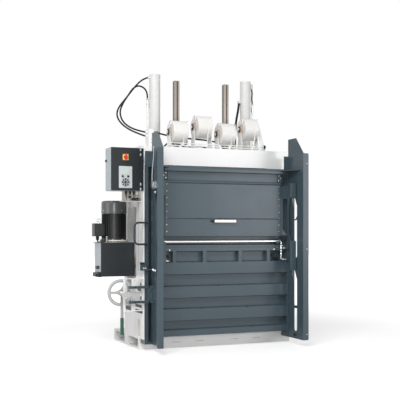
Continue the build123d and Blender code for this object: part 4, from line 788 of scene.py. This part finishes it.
# Door lock and the left side
def handwheel_piece():
    """Cast handwheel with three tapered spokes and a thick rim."""
    cx, cy, cz = WHEEL
    work = bmesh.new()
    grid = []
    for angle in around(72):
        row = []
        for lean in around(16):
            radius = RIM_RADIUS + RIM_HALF_W * math.cos(lean)
            spot = (cx + radius * math.sin(angle), cy + RIM_HALF_T * math.sin(lean),
                    cz + radius * math.cos(angle))
            row.append(work.verts.new(spot))
        grid.append(row)
    for row, ahead in zip(grid, grid[1:] + grid[:1]):
        for corner in range(len(row)):
            after = (corner + 1) % len(row)
            work.faces.new((row[corner], row[after], ahead[after], ahead[corner]))
    for angle in around(3, 30):
        turn = Matrix.Translation(WHEEL) @ Matrix.Rotation(angle, 4, "Y")
        ends = []
        for height, half_x, half_y in ((24, 20, 9), (70, 13, 7), (RIM_RADIUS - 8, 17, 8)):
            corners = ((-half_x, -half_y), (half_x, -half_y), (half_x, half_y), (-half_x, half_y))
            ends.append([work.verts.new(turn @ Vector((x, y, height))) for x, y in corners])
        for lower, upper in zip(ends, ends[1:]):
            for corner in range(4):
                after = (corner + 1) % 4
                work.faces.new((lower[corner], lower[after], upper[after], upper[corner]))
        work.faces.new(list(reversed(ends[0])))
        work.faces.new(ends[-1])
    add_profile(work, "y", WHEEL, [(13, -44), (26, -44), (32, -38), (32, 18), (26, 26), (13, 26)], 40)
    bmesh.ops.recalc_face_normals(work, faces=work.faces)
    wheel = mesh_piece("cast_handwheel", work, "handwheel", CAST, 1.5)
    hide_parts("handwheel")


def lock_bolts():
    """Bolts of the lock cage and the locking arms, and the black stops of the arms."""
    wheel_z = WHEEL[2]
    work = bmesh.new()
    for z in (737, 447):
        add_bolt(work, "y", (-994, -140, z), 6, -1)
    for z in (wheel_z - 15, wheel_z + 15):
        for x in (-1066, -1024):
            add_bolt(work, "y", (x, -130, z), 4, -1)
    mesh_piece("lock_cage_bolts", work, "frame", ZINC)
    work = bmesh.new()
    for z in (515, 667):
        add_bolt(work, "y", (-838, -176, z), 8, -1)
        add_bolt(work, "y", (-990, -176, z), 6, -1)
    mesh_piece("arm_bolts", work, "door", BLACK)
    places = ((-108, -84, 645, 706), (-88, 6, 622, 642), (-108, -84, 532, 574))
    box_piece("arm_stops", [(-907, -899, *place) for place in places], "frame", BLACK, 2.5)


def side_strips():
    """Dark and grey strips of painted shade on the left side, the pale pocket floor, and the backs of the
    slots in the base.
    """
    # The dark strips are painted shade that stands for the slots in the side plate
    slot_shades = [(-897, -890, -110, 502, 388, 428), (-903, -898, -108, 96, 448, 478)]
    box_piece("side_slot_painted_shade", slot_shades, "frame", DARK_INNER, 3)
    box_piece("side_pocket_floor", [(-885.5, -883, -50, 46, 150, 320)], "frame", WARM)
    # A grey strip of painted shade stands for the groove between the front post and its cheek
    box_piece("side_groove_painted_shade", [(-893, -891, 9, 36, 830, 1935)], "frame", CAST)
    backs = [(x - 52, x + 52, 8, 12, 52, 72) for x in (-478, -208, 208, 478)]
    box_piece("base_slot_backs", backs, "frame", WARM)


def spindle_details():
    """Nut and bearing of the lock spindle, and the ring, pawl and grip ribs of the ratchet lever."""
    # Known fault: these pieces belong at the x of WHEEL
    x, z = 478, WHEEL[2]
    lever_y = 112
    points = [(12, -4), (19, -3), (19, 6), (12, 9)]
    turned_piece("spindle_nut", "y", (x, 222, z), points, 6, "lock_spindle", ZINC)
    work = bmesh.new()
    add_profile(work, "y", (x, -100, z), [(20, -4), (33, -3), (33, 10), (27, 14), (20, 14)], 36)
    add_profile(work, "y", (x, 20, z), [(20, -30), (27, -28), (27, 28), (20, 30)], 8)
    mesh_piece("spindle_bearing", work, "frame", CAST, 0.8)
    ring_tube("ratchet_ring", (x, lever_y, z), 48, 24, 7, "ratchet_lever", STEEL, "bare_steel")
    pawl = (x - 9, x + 9, lever_y - 6, lever_y + 6, z + 26, z + 50)
    box_piece("ratchet_pawl", [pawl], "ratchet_lever", STEEL, 2)
    work = bmesh.new()
    for row in range(13):
        centre = (x, lever_y, 166 + row * 12)
        add_profile(work, "z", centre, [(18.6, -4), (20.6, -2.5), (20.6, 2.5), (18.6, 4)], 28)
    mesh_piece("grip_ribs", work, "ratchet_lever", GREEN)


def side_latch_details():
    """Cap, knob and bolts of the latch on the door's left edge."""
    caps = [(-936, -926, -184, -160, 900, 926), (-928, -900, -187, -179, 906, 918)]
    box_piece("side_latch_cap", caps, "door", BLACK, 2)
    work = bmesh.new()
    add_profile(work, "y", (-826, -266, 848), [(6, -13), (12, -10), (14, 0), (12, 10), (6, 13)], 24)
    for x in (-900, -880):
        add_bolt(work, "y", (x, -180, 862), 7, -1)
    mesh_piece("side_latch_knob", work, "door", BRIGHT)


tank_details()
cabinet_details()
keypad_details()
switch_details()
under_cabinet()
motor_details()
terminal_details()
reel_details()
beam_hoses()
stand_details()
cylinder_details()
pole_details()
hose_fittings()
door_band()
head_details()
strap_slots()
crank_pins()
flap_details()
wing_details()
weld_beads()
handwheel_piece()
lock_bolts()
side_strips()
spindle_details()
side_latch_details()


# Floor, light and camera
AMBIENT = 0.30
FLOOR_LIFT = (0.52, 0.95)
FLOOR_REACH = (2.5, 7.0)
FLOOR_GREY = 0.64
CAMERA_SPOT = (-3.5433, -8.069, 1.2342)
CAMERA_TURN = -22.5


def seen_directly(tree_nodes, links, otherwise):
    """One for rays that show the background itself, and another value for those that light the object."""
    path = tree_nodes.new("ShaderNodeLightPath")
    total = path.outputs["Is Camera Ray"]
    for kind in ("Is Glossy Ray", "Is Transmission Ray"):
        either = tree_nodes.new("ShaderNodeMath")
        either.operation = "MAXIMUM"
        links.new(total, either.inputs[0])
        links.new(path.outputs[kind], either.inputs[1])
        total = either.outputs["Value"]
    span = tree_nodes.new("ShaderNodeMapRange")
    span.inputs["To Min"].default_value = otherwise
    links.new(total, span.inputs["Value"])
    return span.outputs["Result"]


def make_floor():
    """Pale floor that glows a little more with its distance, so that it meets the backdrop softly."""
    bpy.ops.mesh.primitive_plane_add(size=60, location=(0, 0, -MM))
    floor = bpy.context.object
    floor.name = "floor"
    material, tree_nodes, links = new_material("floor_white")
    shader = tree_nodes["Principled BSDF"]
    shader.inputs["Base Color"].default_value = (FLOOR_GREY, FLOOR_GREY, FLOOR_GREY, 1)
    shader.inputs["Roughness"].default_value = 0.7
    shader.inputs["Emission Color"].default_value = (1, 1, 1, 1)
    coords = tree_nodes.new("ShaderNodeTexCoord")
    reach = tree_nodes.new("ShaderNodeVectorMath")
    reach.operation = "LENGTH"
    links.new(coords.outputs["Object"], reach.inputs[0])
    fade = tree_nodes.new("ShaderNodeMapRange")
    fade.inputs["From Min"].default_value, fade.inputs["From Max"].default_value = FLOOR_REACH
    fade.inputs["To Min"].default_value, fade.inputs["To Max"].default_value = FLOOR_LIFT
    links.new(reach.outputs["Value"], fade.inputs["Value"])
    lift = tree_nodes.new("ShaderNodeMath")
    lift.operation = "MULTIPLY"
    links.new(fade.outputs["Result"], lift.inputs[0])
    links.new(seen_directly(tree_nodes, links, 0.0), lift.inputs[1])
    links.new(lift.outputs["Value"], shader.inputs["Emission Strength"])
    floor.data.materials.append(material)


def make_backdrop():
    """White backdrop that lights the object only dimly."""
    world = bpy.data.worlds.new("studio")
    bpy.context.scene.world = world
    world.use_nodes = True
    tree = world.node_tree
    backdrop = tree.nodes["Background"]
    backdrop.inputs["Color"].default_value = (1, 1, 1, 1)
    tree.links.new(seen_directly(tree.nodes, tree.links, AMBIENT), backdrop.inputs["Strength"])


def add_light(name, spot, target, size, energy):
    data = bpy.data.lights.new(name, "AREA")
    data.shape = "RECTANGLE"
    data.size, data.size_y = size
    data.energy = energy
    item = bpy.data.objects.new(name, data)
    bpy.context.scene.collection.objects.link(item)
    item.location = spot
    item.rotation_euler = (Vector(target) - Vector(spot)).to_track_quat("-Z", "Y").to_euler()


def add_camera():
    data = bpy.data.cameras.new("camera")
    data.sensor_width = 36
    data.lens = 72.8
    data.shift_y = 0.08
    camera = bpy.data.objects.new("camera", data)
    camera.location = CAMERA_SPOT
    camera.rotation_euler = (math.radians(90), 0, math.radians(CAMERA_TURN))
    bpy.context.scene.collection.objects.link(camera)
    bpy.context.scene.camera = camera


make_floor()
make_backdrop()
add_light("key_light", (-4.0, -5.0, 6.4), (0, 0, 1.6), (3.4, 2.6), 440)
add_light("front_light", (5.0, -7.6, 2.1), (0.2, 0, 1.2), (3.6, 2.6), 150)
add_light("fill_light", (-2.9, -6.6, 1.25), (-0.9, 0.4, 1.3), (1.0, 1.0), 95)
add_light("side_light", (-7.0, -1.2, 1.7), (-1.0, 0, 0.9), (3.0, 3.0), 62)
add_camera()
bpy.context.scene.view_settings.view_transform = "Standard"
